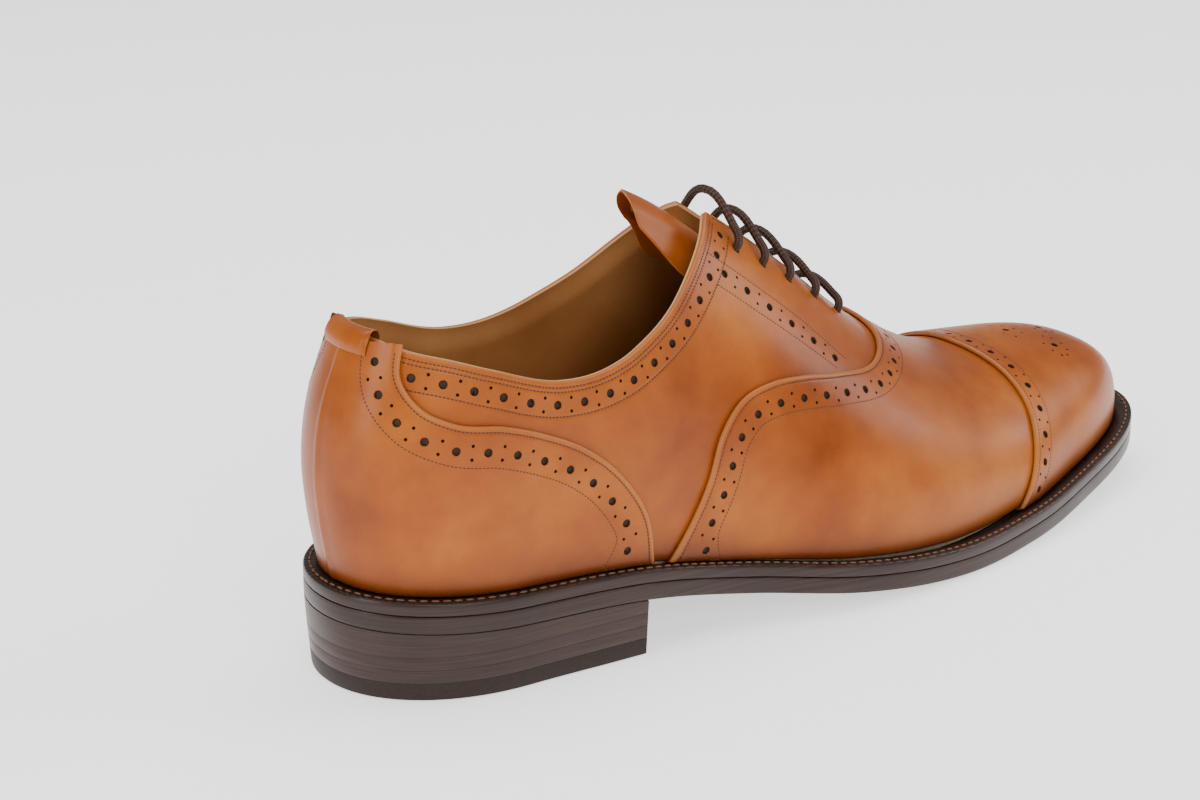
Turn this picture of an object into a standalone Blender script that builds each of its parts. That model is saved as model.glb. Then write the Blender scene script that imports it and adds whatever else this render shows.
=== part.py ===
# Right shoe of a pair of closed-lacing cap-toe oxfords, welted, with a stacked leather heel.
# Frame: +X towards the toe, +Y towards the other foot (medial), +Z up, origin under the middle of the shoe.
# Lengths are in millimetres in the tables and in metres once a point leaves shoe_point or slab_point.

import math

import bmesh
import bpy
import numpy as np
from mathutils import Matrix, Vector

MM = 0.001
GAP = 0.3                      # clearance kept between pieces that touch
FRAME_SHIFT = (1.25, 0.46, 0)  # from the last's own axes to the middle of the shoe's base

# Last: the form that the upper is pulled over.
HEEL_X, TOE_X = -145.0, 143.0
STATION_X = (-145, -110, -75, -40, -5, 30, 65, 100, 143)
LATERAL_FEATHER = (-30.5, -32.5, -36.5, -39.5, -47.5, -48.5, -43, -34.5, -30)
MEDIAL_FEATHER = (30.5, 30, 28, 29, 36, 44, 47, 42, 30)
RIDGE_RISE = (120, 118, 112, 104, 85, 61, 41, 32.5, 26)
RIDGE_Y = (0, 0, 0, 2, 4, 5, 5, 4, 2.5)
LATERAL_BULGE = (8, 7.5, 6, 5, 5, 5, 4, 3, 1.5)
MEDIAL_BULGE = (7, 6.5, 5, 3, 4, 5, 5, 3.5, 2)
LATERAL_WALL = (45, 45, 40, 34, 30, 26, 20, 22, 25)
MEDIAL_WALL = (45, 45, 42, 36, 32, 26, 20, 22, 25)
RIDGE_FLAT = (0.7, 0.7, 0.64, 0.56, 0.5, 0.53, 0.6, 0.6, 0.56)
RIDGE_DROP = (10, 10, 10, 7, 3.5, 2.5, 1.2, 0.4, 0)
HEEL_ROUND, HEEL_POWER = 36.0, 2.1
TOE_ROUND, TOE_POWER = 72.0, 2.2
TOE_HEIGHT_ROUND, TOE_HEIGHT_POWER = 38.5, 2.4
HEEL_CURVE_Z = (0, 15, 30, 45, 60, 80, 130)
HEEL_CURVE_X = (-4, -6.5, -7.5, -5.5, 0, 9, 24)
HEEL_CURVE_REACH = 70.0
GIRTH_LENGTH = 100             # rough length in mm of a girth from the ridge to the feather line
NORMAL_STEP = 0.004
NORMAL_RANGE = (0.012, 0.985)  # station shares between which the surface's own normal is used

# Sole: height of its underside along the shoe, and its layers above that underside.
SOLE_X = (-155, -110, -75, -40, -5, 20, 45, 65, 100, 141, 155)
SOLE_Z = (20, 18, 16.3, 10, 4.2, 1.2, 0, 0.7, 3.6, 9, 11.2)
OUTSOLE = (0.0, 5.0)
WELT = (5.3, 8.7)
RIB = (5.3, 8.3)
CORK_FORE = (5.3, 8.3)
CORK_REAR = (5.3, 6.8)
SHANK = (7.1, 8.3)
INSOLE = (8.6, 11.0)
SOCK = (11.3, 12.1)
FEATHER_RISE = 9.0
CORK_MARGIN = -9.0
INSOLE_MARGIN = -5.6
SOCK_MARGIN = -6.4
WELT_INNER = -3.5
RIB_BAND = (-4.6, -8.4)
SHANK_X = (-92, 14)
SHANK_Y = (-4, 0)
SHANK_WIDTH = 13.0
EDGE_X = (-145, -90, -60, 0, 40, 143)
EDGE_MARGIN = (4.0, 3.4, 3.0, 5.0, 6.0, 7.5)

# Heel: lifts under the seat, and the top piece that meets the ground.
BREAST_X = -74.0
BREAST_HOLLOW = 3.0
TOP_PIECE = (0.0, 5.0)
LIFTS = ((5.3, 8.7), (9.0, 12.4), (12.7, None))
HEEL_TAPER = 1.2
HEEL_SEAT = 17.0
NAIL_PLACES = ((-136, 0), (-118, -19), (-118, 19), (-94, -20), (-94, 20))
NAIL_RADIUS = 0.8
NAIL_BORE = 1.2
NAIL_Z = (5.7, 15.6)

# Where the forepart bends, across the ball of the foot.
FLEX_X = 62.0
FLEX_GAP = 0.6

# Upper: offsets from the last's outer surface, outer face first.
CAP_LAYER = (1.5, 0.5)
OVERLAY = (0.0, -1.0)
UNDERLAY = (-1.5, -2.5)
PUFF_LAYER = (-1.5, -2.5)
VAMP_LINING_LAYER = (-3.1, -3.9)
STIFF_LAYER = (-3.3, -4.0)
LINING_LAYER = (-4.6, -5.4)
TONGUE_LAYER = (-10.6, -11.3)
TONGUE_LINING_LAYER = (-11.6, -12.2)

# Seams as (station x, girth b): b is 0 on the ridge and 1 on the feather line.
TOPLINE = ((-145, 0.540), (-138, 0.555), (-127.5, 0.570), (-115, 0.592), (-95.5, 0.617), (-86, 0.607),
           (-76, 0.577), (-67, 0.533), (-56, 0.463), (-46, 0.372), (-36, 0.255), (-28, 0.130))
VAMP_EDGE = ((-65, 1.0), (-60, 0.925), (-52.5, 0.808), (-47, 0.708), (-38.5, 0.628), (-27.5, 0.575),
             (-15, 0.535), (-2.5, 0.50), (13, 0.433), (25.5, 0.308), (33, 0.165), (35, 0.0))
COUNTER_EDGE = ((-70, 1.0), (-73, 0.883), (-80.5, 0.80), (-91, 0.742), (-102.5, 0.708), (-113, 0.688),
                (-126, 0.675), (-133, 0.648), (-137.5, 0.600), (-138.2, 0.545))
CAP_SEAM = ((65, 1.0), (70, 0.875), (75, 0.708), (79, 0.533), (80.5, 0.325), (79, 0.10), (78, 0.0))
LAP = 9.0
QUARTER_TURN = 0.6             # share of a quarter's front edge that lies under the vamp
QUARTER_CROWD = 0.13           # how far a quarter's columns crowd towards its front
BACK_GAP = 0.003               # share of the length left at the centre back seam
FACING_X = (-28, 34)
FACING_B = (0.130, 0.080)
STAY_REACH = (6, -3)
STAY_GIRTH = 0.13
EYELET_X = (19, 8, -3, -13, -23)
EYELET_B = (0.185, 0.210, 0.225, 0.230, 0.235)
EYELET_BORE = 2.0
EYELET_OUTER = 3.0
EYELET_LAYER = (-3.4, -4.0)
LINING_BORE = 2.5
DRILL_MARGIN = 1.6
LINING_THROAT_X = 46
LINING_SWEEP = (92, 1.6)       # how far back the vamp lining reaches at the feather line, and its curve
PUFF_X = 90
PUFF_REACH = (0.995, 0.97)
STIFFENER_X = -82
STIFFENER_GIRTH = (0.995, 0.36, 0.45)
TAB_SHARE = 0.045
TAB_GIRTH = (0.004, 0.045)
TONGUE_X = (44, -48)
TONGUE_GIRTH = (0.15, 0.37)
TONGUE_LINING_X = (10, -42)
TONGUE_LINING_GIRTH = (0.18, 0.29)
TONGUE_CORNER = (0.86, 0.45)
TONGUE_SOFTEN = 0.40           # girth over which its normals turn from the ridge's to the last's own

# Lace: one round waxed cord in straight bars, with both ends tucked down inside the shoe.
LACE_RADIUS = 1.25
LACE_INSIDE = -7.4
LACE_BAR = 1.1
AGLET_LENGTH = 20.0
AGLET_RADIUS = 1.15
BAR_SPREAD = (0.012, 0.06)     # girth by which a bar leans in from its eyelet
TAIL_SPOTS = ((0.05, 0.29, -7.4), (0.15, 0.36, -7.8), (0.35, 0.45, -8.0), (0.6, 0.56, -8.0),
              (0.85, 0.68, -8.0), (1.0, 0.80, -8.8))
TAIL_START_X = 2.0
TAIL_STEP = 12.9
TAIL_STEPS = 9
TAIL_DRIFT = 1.8
TAIL_WAVE = 5.0
TAIL_Y = (-28, 22)

TAN = ("tan_calf", (0.40, 0.150, 0.042), 0.38, 0.0)
LINING = ("lining_leather", (0.56, 0.36, 0.17), 0.62, 0.0)
SOLE_BROWN = ("burnished_sole_edge", (0.050, 0.026, 0.018), 0.34, 0.0)
SOLE_LEATHER = ("sole_leather", (0.42, 0.24, 0.11), 0.6, 0.0)
LACE_BROWN = ("waxed_cotton", (0.055, 0.028, 0.018), 0.55, 0.0)
CORK = ("cork_filler", (0.32, 0.19, 0.09), 0.85, 0.0)
BOARD = ("stiffener_board", (0.60, 0.50, 0.36), 0.7, 0.0)
STEEL = ("shank_steel", (0.55, 0.55, 0.57), 0.35, 1.0)
BRASS = ("brass", (0.70, 0.50, 0.20), 0.35, 1.0)
AGLET = ("clear_brown_plastic", (0.09, 0.05, 0.03), 0.25, 0.0)
RUBBER = ("rubber_top_piece", (0.03, 0.022, 0.018), 0.7, 0.0)


def clear_scene():
    for obj in list(bpy.data.objects):
        bpy.data.objects.remove(obj, do_unlink=True)


def smooth(xs, ys, x):
    # Cubic through the points with the slopes of a Catmull-Rom curve, held level past both ends.
    xs = np.asarray(xs, float)
    ys = np.asarray(ys, float)
    slopes = np.gradient(ys, xs)
    x = np.clip(x, xs[0], xs[-1])
    i = np.clip(np.searchsorted(xs, x) - 1, 0, len(xs) - 2)
    step = xs[i + 1] - xs[i]
    t = (x - xs[i]) / step
    rise = t * t * (3 - 2 * t)
    start = t * (1 - t) ** 2 * step
    end = t * t * (t - 1) * step
    return ys[i] + rise * (ys[i + 1] - ys[i]) + start * slopes[i] + end * slopes[i + 1]


def curve_through(points, t):
    # Point at share t of the way along a smooth curve through (x, b) points, by its chord lengths.
    points = np.asarray(points, float)
    steps = np.linalg.norm(np.diff(points * (1, GIRTH_LENGTH), axis=0), axis=1)
    along = np.concatenate(([0.0], np.cumsum(steps)))
    return np.array([smooth(along / along[-1], column, t) for column in points.T])


def rounded(distance, reach, power):
    t = min(max(distance / reach, 0.0), 1.0)
    return (1 - (1 - t) ** power) ** (1 / power)


def sole_height(x):
    return float(smooth(SOLE_X, SOLE_Z, x))


def station_of(a):
    return (HEEL_X + TOE_X) / 2 - (TOE_X - HEEL_X) / 2 * math.cos(math.pi * a)


def share_of(x):
    middle = (HEEL_X + TOE_X) / 2
    return math.acos(min(1.0, max(-1.0, (middle - x) / (TOE_X - middle)))) / math.pi


def last_point(a, b):
    # a runs from the heel to the toe, b from the lateral feather line (-1) over the ridge to the medial one (1).
    x = station_of(a)
    width = rounded(x - HEEL_X, HEEL_ROUND, HEEL_POWER) * rounded(TOE_X - x, TOE_ROUND, TOE_POWER)
    height = rounded(TOE_X - x, TOE_HEIGHT_ROUND, TOE_HEIGHT_POWER)
    lateral = b < 0
    feather = smooth(STATION_X, LATERAL_FEATHER if lateral else MEDIAL_FEATHER, x)
    bulge = smooth(STATION_X, LATERAL_BULGE if lateral else MEDIAL_BULGE, x)
    wall = smooth(STATION_X, LATERAL_WALL if lateral else MEDIAL_WALL, x)
    ridge_y = smooth(STATION_X, RIDGE_Y, x)
    ridge_z = smooth(STATION_X, RIDGE_RISE, x)
    shoulder_y = ridge_y + smooth(STATION_X, RIDGE_FLAT, x) * (feather - ridge_y)
    shoulder_z = ridge_z - smooth(STATION_X, RIDGE_DROP, x)
    t = 1 - abs(b)
    weights = ((1 - t) ** 3, 3 * t * (1 - t) ** 2, 3 * t * t * (1 - t), t ** 3)
    side = feather + (-bulge if lateral else bulge)
    y = width * sum(w * v for w, v in zip(weights, (feather, side, shoulder_y, ridge_y)))
    rise = height * sum(w * v for w, v in zip(weights, (0.0, wall, shoulder_z, ridge_z)))
    fade = min(1.0, max(0.0, 1 - (x - HEEL_X) / HEEL_CURVE_REACH)) ** 2
    x += fade * float(smooth(HEEL_CURVE_Z, HEEL_CURVE_X, rise))
    return np.array((x, y, sole_height(x) + FEATHER_RISE + GAP + rise))


def last_normal(a, b):
    step = NORMAL_STEP
    a = min(max(a, NORMAL_RANGE[0]), NORMAL_RANGE[1])
    b = min(max(b, -1 + step), 1 - step)
    along = last_point(a + step, b) - last_point(a - step, b)
    around = last_point(a, b + step) - last_point(a, b - step)
    normal = np.cross(around, along)
    return -normal / np.linalg.norm(normal)


def shoe_point(a, b, offset, soften=0.0):
    # At the toe's tip every girth meets, so the normal there points straight ahead.
    lift = np.array((1.0, 0.0, 0.0)) if a > 0.999 else last_normal(a, b)
    if soften:
        # Far below the narrow ridge the walls would cross, so the normal turns there more slowly.
        share = min(1.0, abs(b) / soften)
        share = share * share * (3 - 2 * share)
        lift = last_normal(a, 0.0) * (1 - share) + lift * share
        lift = lift / np.linalg.norm(lift)
    if a < NORMAL_RANGE[0]:
        lift = np.array((lift[0], lift[1] * a / NORMAL_RANGE[0], lift[2]))
        lift = lift / np.linalg.norm(lift)
    return Vector(last_point(a, b) + lift * offset) * MM


def edge_point(side, a, margin):
    # Plan point on the feather line of one side, moved outwards by the margin.
    def feather(share):
        point = last_point(share, side)
        return np.array((point[0], point[1]))
    if a <= 0.0 or a >= 1.0:
        outward = np.array((-1.0 if a <= 0.0 else 1.0, 0.0))
    else:
        step = min(NORMAL_STEP, a, 1 - a)
        run = feather(a + step) - feather(a - step)
        outward = np.array((-run[1], run[0])) * side / np.linalg.norm(run)
    return feather(min(max(a, 0.0), 1.0)) + outward * margin


def edge_margin(a):
    return float(smooth(EDGE_X, EDGE_MARGIN, station_of(a)))


def slab_point(plan, height):
    return Vector((plan[0], plan[1], height)) * MM


def material(spec):
    name, colour, roughness, metallic = spec
    found = bpy.data.materials.get(name)
    if found:
        return found
    made = bpy.data.materials.new(name)
    made.use_nodes = True
    shader = made.node_tree.nodes["Principled BSDF"]
    shader.inputs["Base Color"].default_value = (*colour, 1.0)
    shader.inputs["Roughness"].default_value = roughness
    shader.inputs["Metallic"].default_value = metallic
    return made


def add_object(name, data, finish, parent=None):
    obj = bpy.data.objects.new(name, data)
    bpy.context.scene.collection.objects.link(obj)
    data.materials.append(material(finish))
    if parent:
        obj.parent = parent
        obj.matrix_parent_inverse = parent.matrix_world.inverted()
    return obj


def shell(name, place, counts, finish, parent=None):
    # A flat grid given a thickness, then bent: place(u, w, t) maps the unit cube, t = 1 on its upper face.
    bm = bmesh.new()
    bmesh.ops.create_grid(bm, x_segments=counts[0], y_segments=counts[1], size=0.5)
    bmesh.ops.solidify(bm, geom=bm.faces[:], thickness=1.0)
    low = min(vert.co.z for vert in bm.verts)
    for vert in bm.verts:
        vert.co = place(vert.co.x + 0.5, vert.co.y + 0.5, round(vert.co.z - low))
    bmesh.ops.remove_doubles(bm, verts=bm.verts[:], dist=1e-6)
    bmesh.ops.recalc_face_normals(bm, faces=bm.faces[:])
    if bm.calc_volume(signed=True) < 0:
        bmesh.ops.reverse_faces(bm, faces=bm.faces[:])
    mesh = bpy.data.meshes.new(name)
    bm.to_mesh(mesh)
    bm.free()
    mesh.shade_smooth()
    mesh.set_sharp_from_angle(angle=math.radians(40))
    return add_object(name, mesh, finish, parent)


def panel(name, patch, layer, counts, finish, parent=None, soften=0.0):
    # A leather piece on the last: patch(u, w) gives its station share and signed girth.
    def place(u, w, t):
        a, b = patch(u, w)
        return shoe_point(a, b, layer[0] if t else layer[1], soften)
    return shell(name, place, counts, finish, parent)


def slab(name, span, margins, layer, counts, finish, parent=None):
    # A sole layer across the shoe between two stations, following the sole's curve.
    def place(u, w, t):
        a = span[0] + (span[1] - span[0]) * u
        margin = margins(a)
        plan = edge_point(-1, a, margin) * (1 - w) + edge_point(1, a, margin) * w
        return slab_point(plan, sole_height(plan[0]) + layer[t])
    return shell(name, place, counts, finish, parent)


def strip(name, path, margins, layer, counts, finish, parent=None):
    # A sole layer that is a narrow band along the edge: path(u) gives the side and the station share.
    def place(u, w, t):
        side, a = path(u)
        outer, inner = margins(a)
        plan = edge_point(side, a, outer + (inner - outer) * w)
        return slab_point(plan, sole_height(plan[0]) + layer[t])
    return shell(name, place, counts, finish, parent)


def toe_path(start):
    def path(u):
        turn = abs(2 * u - 1)
        return (-1 if u < 0.5 else 1), 1 - (1 - start) * turn
    return path


def heel_path(start):
    def path(u):
        return (-1 if u < 0.5 else 1), start * abs(2 * u - 1)
    return path


def side_path(side, start, end):
    def path(u):
        return side, start + (end - start) * u
    return path


def drill(obj, start, end, radius, sides=12):
    # Cuts a round bore from one point to another with a hidden cutter.
    axis = end - start
    turn = axis.to_track_quat("Z", "Y").to_matrix().to_4x4()
    bm = bmesh.new()
    bmesh.ops.create_cone(bm, cap_ends=True, segments=sides, radius1=radius * MM, radius2=radius * MM,
                          depth=axis.length, matrix=Matrix.Translation((start + end) / 2) @ turn)
    mesh = bpy.data.meshes.new(obj.name + "_cutter")
    bm.to_mesh(mesh)
    bm.free()
    cutter = bpy.data.objects.new(obj.name + "_cutter", mesh)
    bpy.context.scene.collection.objects.link(cutter)
    cutter.hide_render = True
    cutter.display_type = "WIRE"
    cut = obj.modifiers.new("bore", "BOOLEAN")
    cut.operation = "DIFFERENCE"
    cut.solver = "EXACT"
    cut.object = cutter


def seam_point(seam, t):
    x, b = curve_through(seam, t)
    return share_of(x), b


def blend_pair(first, second, share):
    return tuple(p + (q - p) * share for p, q in zip(first, second))


def vamp_rear(w):
    # The vamp's edge over the quarters, from the lateral feather line through the throat to the medial one.
    a, b = seam_point(VAMP_EDGE, 1 - abs(2 * w - 1))
    return a, b * (-1 if w < 0.5 else 1)


def cap_seam(w, lap=0.0):
    a, b = seam_point(CAP_SEAM, 1 - abs(2 * w - 1))
    return share_of(station_of(a) + lap), b * (-1 if w < 0.5 else 1)


def make_forepart_uppers(forepart):
    def cap(u, w):
        a, b = cap_seam(w)
        return a + (1 - a) * u, b

    def vamp(u, w):
        return blend_pair(vamp_rear(w), cap_seam(w, LAP), u)

    def vamp_lining(u, w):
        b = 2 * w - 1
        start = share_of(LINING_THROAT_X - LINING_SWEEP[0] * abs(b) ** LINING_SWEEP[1])
        return start + (1 - start) * u, b

    def puff(u, w):
        b = (2 * w - 1) * PUFF_REACH[1]
        start = share_of(PUFF_X)
        return start + (1 - start) * u * PUFF_REACH[0], b

    panel("toe_cap", cap, CAP_LAYER, (9, 16), TAN, forepart)
    panel("vamp", vamp, OVERLAY, (9, 26), TAN, forepart)
    panel("vamp_lining", vamp_lining, VAMP_LINING_LAYER, (12, 14), LINING, forepart)
    panel("toe_puff", puff, PUFF_LAYER, (7, 12), BOARD, forepart)


def topline_point(u):
    # Even steps of station share, so that the round heel gets as many facets as the side.
    a = share_of(TOPLINE[-1][0]) * u
    xs, girths = zip(*TOPLINE)
    return a, float(smooth(xs, girths, station_of(a)))


def facing_edge(x):
    return float(smooth(FACING_X, FACING_B, x))


def quarter_front(w):
    # From the feather line under the vamp, up beneath the vamp's edge to the throat, then up the facing.
    turn = QUARTER_TURN
    narrow = 0.6  # the lap under the vamp narrows by this share towards the throat
    if w < turn:
        x, b = curve_through(VAMP_EDGE[:-1], w / turn)
        x += LAP * (1 - narrow * w / turn)
        return share_of(x), b
    t = (w - turn) / (1 - turn)
    x_low = VAMP_EDGE[-2][0] + LAP * (1 - narrow)
    x = x_low + (TOPLINE[-1][0] - x_low) * t
    fall = max(0.0, 1 - t * 6)
    return share_of(x), facing_edge(x) + (VAMP_EDGE[-2][1] - facing_edge(x_low)) * fall


def quarter_patch(side):
    # A four-sided patch: centre back seam, feather line, front edge and topline.
    def edges(u, w):
        back = (BACK_GAP, 1 + (TOPLINE[0][1] - 1) * w)
        bottom = (BACK_GAP + (quarter_front(0)[0] - BACK_GAP) * u, 1.0)
        top = topline_point(u)
        return back, quarter_front(w), bottom, (max(top[0], BACK_GAP), top[1])

    def patch(u, w):
        u += QUARTER_CROWD * math.sin(math.pi * u)
        back, front, bottom, top = (np.array(edge) for edge in edges(u, w))
        corners = [np.array(edges(i, j)[0 if i == 0 else 1]) for j in (0, 1) for i in (0, 1)]
        ruled = (1 - u) * back + u * front + (1 - w) * bottom + w * top
        ruled -= (1 - w) * ((1 - u) * corners[0] + u * corners[1])
        ruled -= w * ((1 - u) * corners[2] + u * corners[3])
        return float(ruled[0]), side * float(ruled[1])
    return patch


def make_quarters():
    for side, word in ((-1, "lateral"), (1, "medial")):
        patch = quarter_patch(side)
        quarter = panel("quarter_" + word, patch, UNDERLAY, (25, 10), TAN)
        lining = panel("quarter_lining_" + word, patch, LINING_LAYER, (25, 9), LINING)
        backing = panel("facing_stay_" + word, stay_patch(side), STIFF_LAYER, (9, 3), BOARD)
        for k, (x, b) in enumerate(zip(EYELET_X, EYELET_B)):
            a = share_of(x)
            inside = shoe_point(a, side * b, LINING_LAYER[1] - DRILL_MARGIN)
            outside = shoe_point(a, side * b, DRILL_MARGIN)
            drill(quarter, inside, outside, EYELET_BORE)
            drill(lining, inside, outside, LINING_BORE)
            drill(backing, inside, outside, EYELET_OUTER + GAP)
            make_eyelet(f"eyelet_{word}_{k + 1}", a, side * b)


def stay_patch(side):
    # The backing strip behind one row of eyelets.
    def patch(u, w):
        front = EYELET_X[0] + STAY_REACH[0]
        back = EYELET_X[-1] + STAY_REACH[1]
        x = front + (back - front) * u
        middle = float(smooth(EYELET_X[::-1], EYELET_B[::-1], x))
        return share_of(x), side * (middle + STAY_GIRTH * (w - 0.5))
    return patch


def make_eyelet(name, a, b):
    # A blind eyelet: a flat ring held in the backing strip, between the quarter and its lining.
    top = shoe_point(a, b, EYELET_LAYER[0])
    low = shoe_point(a, b, EYELET_LAYER[1])
    axis = top - low
    bm = bmesh.new()
    corners = ((EYELET_BORE, 0.0), (EYELET_OUTER, 0.0), (EYELET_OUTER, 1.0), (EYELET_BORE, 1.0))
    profile = [bm.verts.new((radius * MM, 0, height * axis.length)) for radius, height in corners]
    edges = [bm.edges.new((profile[k - 1], profile[k])) for k in range(4)]
    bmesh.ops.spin(bm, geom=profile + edges, axis=(0, 0, 1), cent=(0, 0, 0), angle=2 * math.pi, steps=10,
                   use_merge=True)
    bmesh.ops.recalc_face_normals(bm, faces=bm.faces[:])
    mesh = bpy.data.meshes.new(name)
    bm.to_mesh(mesh)
    bm.free()
    obj = add_object(name, mesh, BRASS)
    obj.location = low
    obj.rotation_mode = "QUATERNION"
    obj.rotation_quaternion = axis.to_track_quat("Z", "Y")


def make_heel_pieces():
    def counter(u, w):
        # u runs round the heel from the lateral edge to the medial one, w from the feather line up.
        side = -1 if u < 0.5 else 1
        turn = abs(2 * u - 1)
        edge = seam_point(COUNTER_EDGE, w)
        level = 1.0 + (TOPLINE[0][1] - 1.0) * w
        return edge[0] * turn, side * (level + (edge[1] - level) * turn)

    def stiffener(u, w):
        side = -1 if u < 0.5 else 1
        turn = abs(2 * u - 1)
        low, rise, fall = STIFFENER_GIRTH
        return share_of(STIFFENER_X) * turn, side * (low - rise * w * (1 - fall * turn ** 2))

    def tab(u, w):
        # The rolled tab at the top of the back seam lies over the counter's edge.
        b = TOPLINE[0][1] + TAB_GIRTH[0] + TAB_GIRTH[1] * w
        return TAB_SHARE * abs(2 * u - 1), (-1 if u < 0.5 else 1) * b

    panel("heel_counter_cover", counter, OVERLAY, (24, 9), TAN)
    panel("counter_stiffener", stiffener, STIFF_LAYER, (20, 7), BOARD)
    panel("back_tab", tab, CAP_LAYER, (8, 2), TAN)


def tongue_patch(reach, width):
    def patch(u, w):
        x = reach[0] + (reach[1] - reach[0]) * u
        half = width[0] + (width[1] - width[0]) * u
        start, fall = TONGUE_CORNER
        corner = 1 - fall * max(0.0, (u - start) / (1 - start)) ** 2
        return share_of(x), (2 * w - 1) * half * corner
    return patch


def make_tongue(hinge):
    outer = tongue_patch(TONGUE_X, TONGUE_GIRTH)
    inner = tongue_patch(TONGUE_LINING_X, TONGUE_LINING_GIRTH)
    panel("tongue", outer, TONGUE_LAYER, (20, 12), TAN, hinge, TONGUE_SOFTEN)
    panel("tongue_lining", inner, TONGUE_LINING_LAYER, (16, 10), LINING, hinge, TONGUE_SOFTEN)


def make_sole(forepart):
    before = share_of(FLEX_X - FLEX_GAP / 2)
    after = share_of(FLEX_X + FLEX_GAP / 2)
    breast = share_of(BREAST_X + 2)
    slab("outsole_fore", (after, 1.0), edge_margin, OUTSOLE, (9, 4), SOLE_BROWN, forepart)
    slab("outsole_rear", (0.0, before), edge_margin, OUTSOLE, (16, 4), SOLE_BROWN)
    for name, span, parent in (("fore", (after, 1.0), forepart), ("rear", (0.0, before), None)):
        fore = name == "fore"
        counts = (9, 4) if fore else (16, 4)
        cork = CORK_FORE if fore else CORK_REAR
        slab("cork_" + name, span, lambda a: CORK_MARGIN, cork, counts, CORK, parent)
        slab("insole_" + name, span, lambda a: INSOLE_MARGIN, INSOLE, counts, SOLE_LEATHER, parent)
        slab("sock_" + name, span, lambda a: SOCK_MARGIN, SOCK, counts, LINING, parent)

    def welt_band(a):
        return edge_margin(a), WELT_INNER

    def rib_band(a):
        return RIB_BAND

    for kind, band, layer in (("welt", welt_band, WELT), ("insole_rib", rib_band, RIB)):
        finish = SOLE_BROWN if kind == "welt" else BOARD
        strip(kind + "_fore", toe_path(after), band, layer, (28, 1), finish, forepart)
        for side, word in ((-1, "lateral"), (1, "medial")):
            path = side_path(side, breast + 0.004, before)
            strip(f"{kind}_waist_{word}", path, band, layer, (12, 1), finish)
    strip("heel_rand", heel_path(breast), welt_band, WELT, (24, 1), SOLE_BROWN)
    make_shank()


def make_shank():
    def place(u, w, t):
        x = SHANK_X[0] + (SHANK_X[1] - SHANK_X[0]) * u
        y = SHANK_Y[0] + (SHANK_Y[1] - SHANK_Y[0]) * u + (w - 0.5) * SHANK_WIDTH
        return slab_point((x, y), sole_height(x) + SHANK[t])
    shell("shank", place, (12, 1), STEEL)


def heel_plan(u, w, grow):
    # u runs from the breast to the back of the heel, w across it; the breast is hollow in plan.
    def outline(side, share):
        return edge_point(side, share, edge_margin(share) + grow)
    breast = share_of(BREAST_X)
    a = breast * (1 - u)
    plan = outline(-1, a) * (1 - w) + outline(1, a) * w
    plan[0] -= BREAST_HOLLOW * (1 - (2 * w - 1) ** 2) * (1 - u)
    return plan


def make_heel():
    def lift(low, high):
        def place(u, w, t):
            level = low if t == 0 else high
            share = 1.0 if level is None else level / HEEL_SEAT
            plan = heel_plan(u, w, -HEEL_TAPER * (1 - share))
            height = sole_height(plan[0]) - GAP if level is None else level
            return slab_point(plan, height)
        return place

    shell("top_piece", lift(*TOP_PIECE), (12, 4), RUBBER)
    lifts = [shell(f"heel_lift_{k + 1}", lift(*layer), (12, 4), SOLE_BROWN) for k, layer in enumerate(LIFTS)]
    for k, (x, y) in enumerate(NAIL_PLACES):
        low = Vector((x, y, NAIL_Z[0])) * MM
        high = Vector((x, y, NAIL_Z[1])) * MM
        margin = Vector((0, 0, GAP * MM))
        for obj in lifts:
            drill(obj, low - 2 * margin, high + margin, NAIL_BORE, sides=8)
        make_pin(f"heel_nail_{k + 1}", low, high, NAIL_RADIUS, 8, STEEL)


def make_pin(name, start, end, radius, sides, finish):
    axis = end - start
    bm = bmesh.new()
    bmesh.ops.create_cone(bm, cap_ends=True, segments=sides, radius1=radius * MM, radius2=radius * MM,
                          depth=axis.length)
    mesh = bpy.data.meshes.new(name)
    bm.to_mesh(mesh)
    bm.free()
    mesh.shade_smooth()
    mesh.set_sharp_from_angle(angle=math.radians(40))
    obj = add_object(name, mesh, finish)
    obj.location = (start + end) / 2
    obj.rotation_mode = "QUATERNION"
    obj.rotation_quaternion = axis.to_track_quat("Z", "Y")
    return obj


def lace_through(side, k, inward):
    # The stretch through one eyelet, in the order inside to outside, or the other way when inward is set.
    a, b = share_of(EYELET_X[k]), EYELET_B[k]
    girths = (b, b, b - BAR_SPREAD[0], b - BAR_SPREAD[1])
    offsets = (-5.9, -2.5, 0.2, LACE_BAR)
    points = [shoe_point(a, side * girth, offset) / MM for girth, offset in zip(girths, offsets)]
    return points[::-1] if inward else points


def lace_run(side, start, end, sideways):
    # The stretch inside the facing between two eyelets of one side, past the eyelets in between.
    points = []
    for share in (0.12, 0.5, 0.88):
        x = EYELET_X[start] + (EYELET_X[end] - EYELET_X[start]) * share
        b = float(smooth(EYELET_X[::-1], EYELET_B[::-1], x)) + sideways * (1 - abs(2 * share - 1) ** 2)
        points.append(shoe_point(share_of(x), side * b, LACE_INSIDE) / MM)
    return points


def lace_bar(k):
    return [shoe_point(share_of(EYELET_X[k]), 0.0, LACE_BAR + 0.3) / MM]


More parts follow.
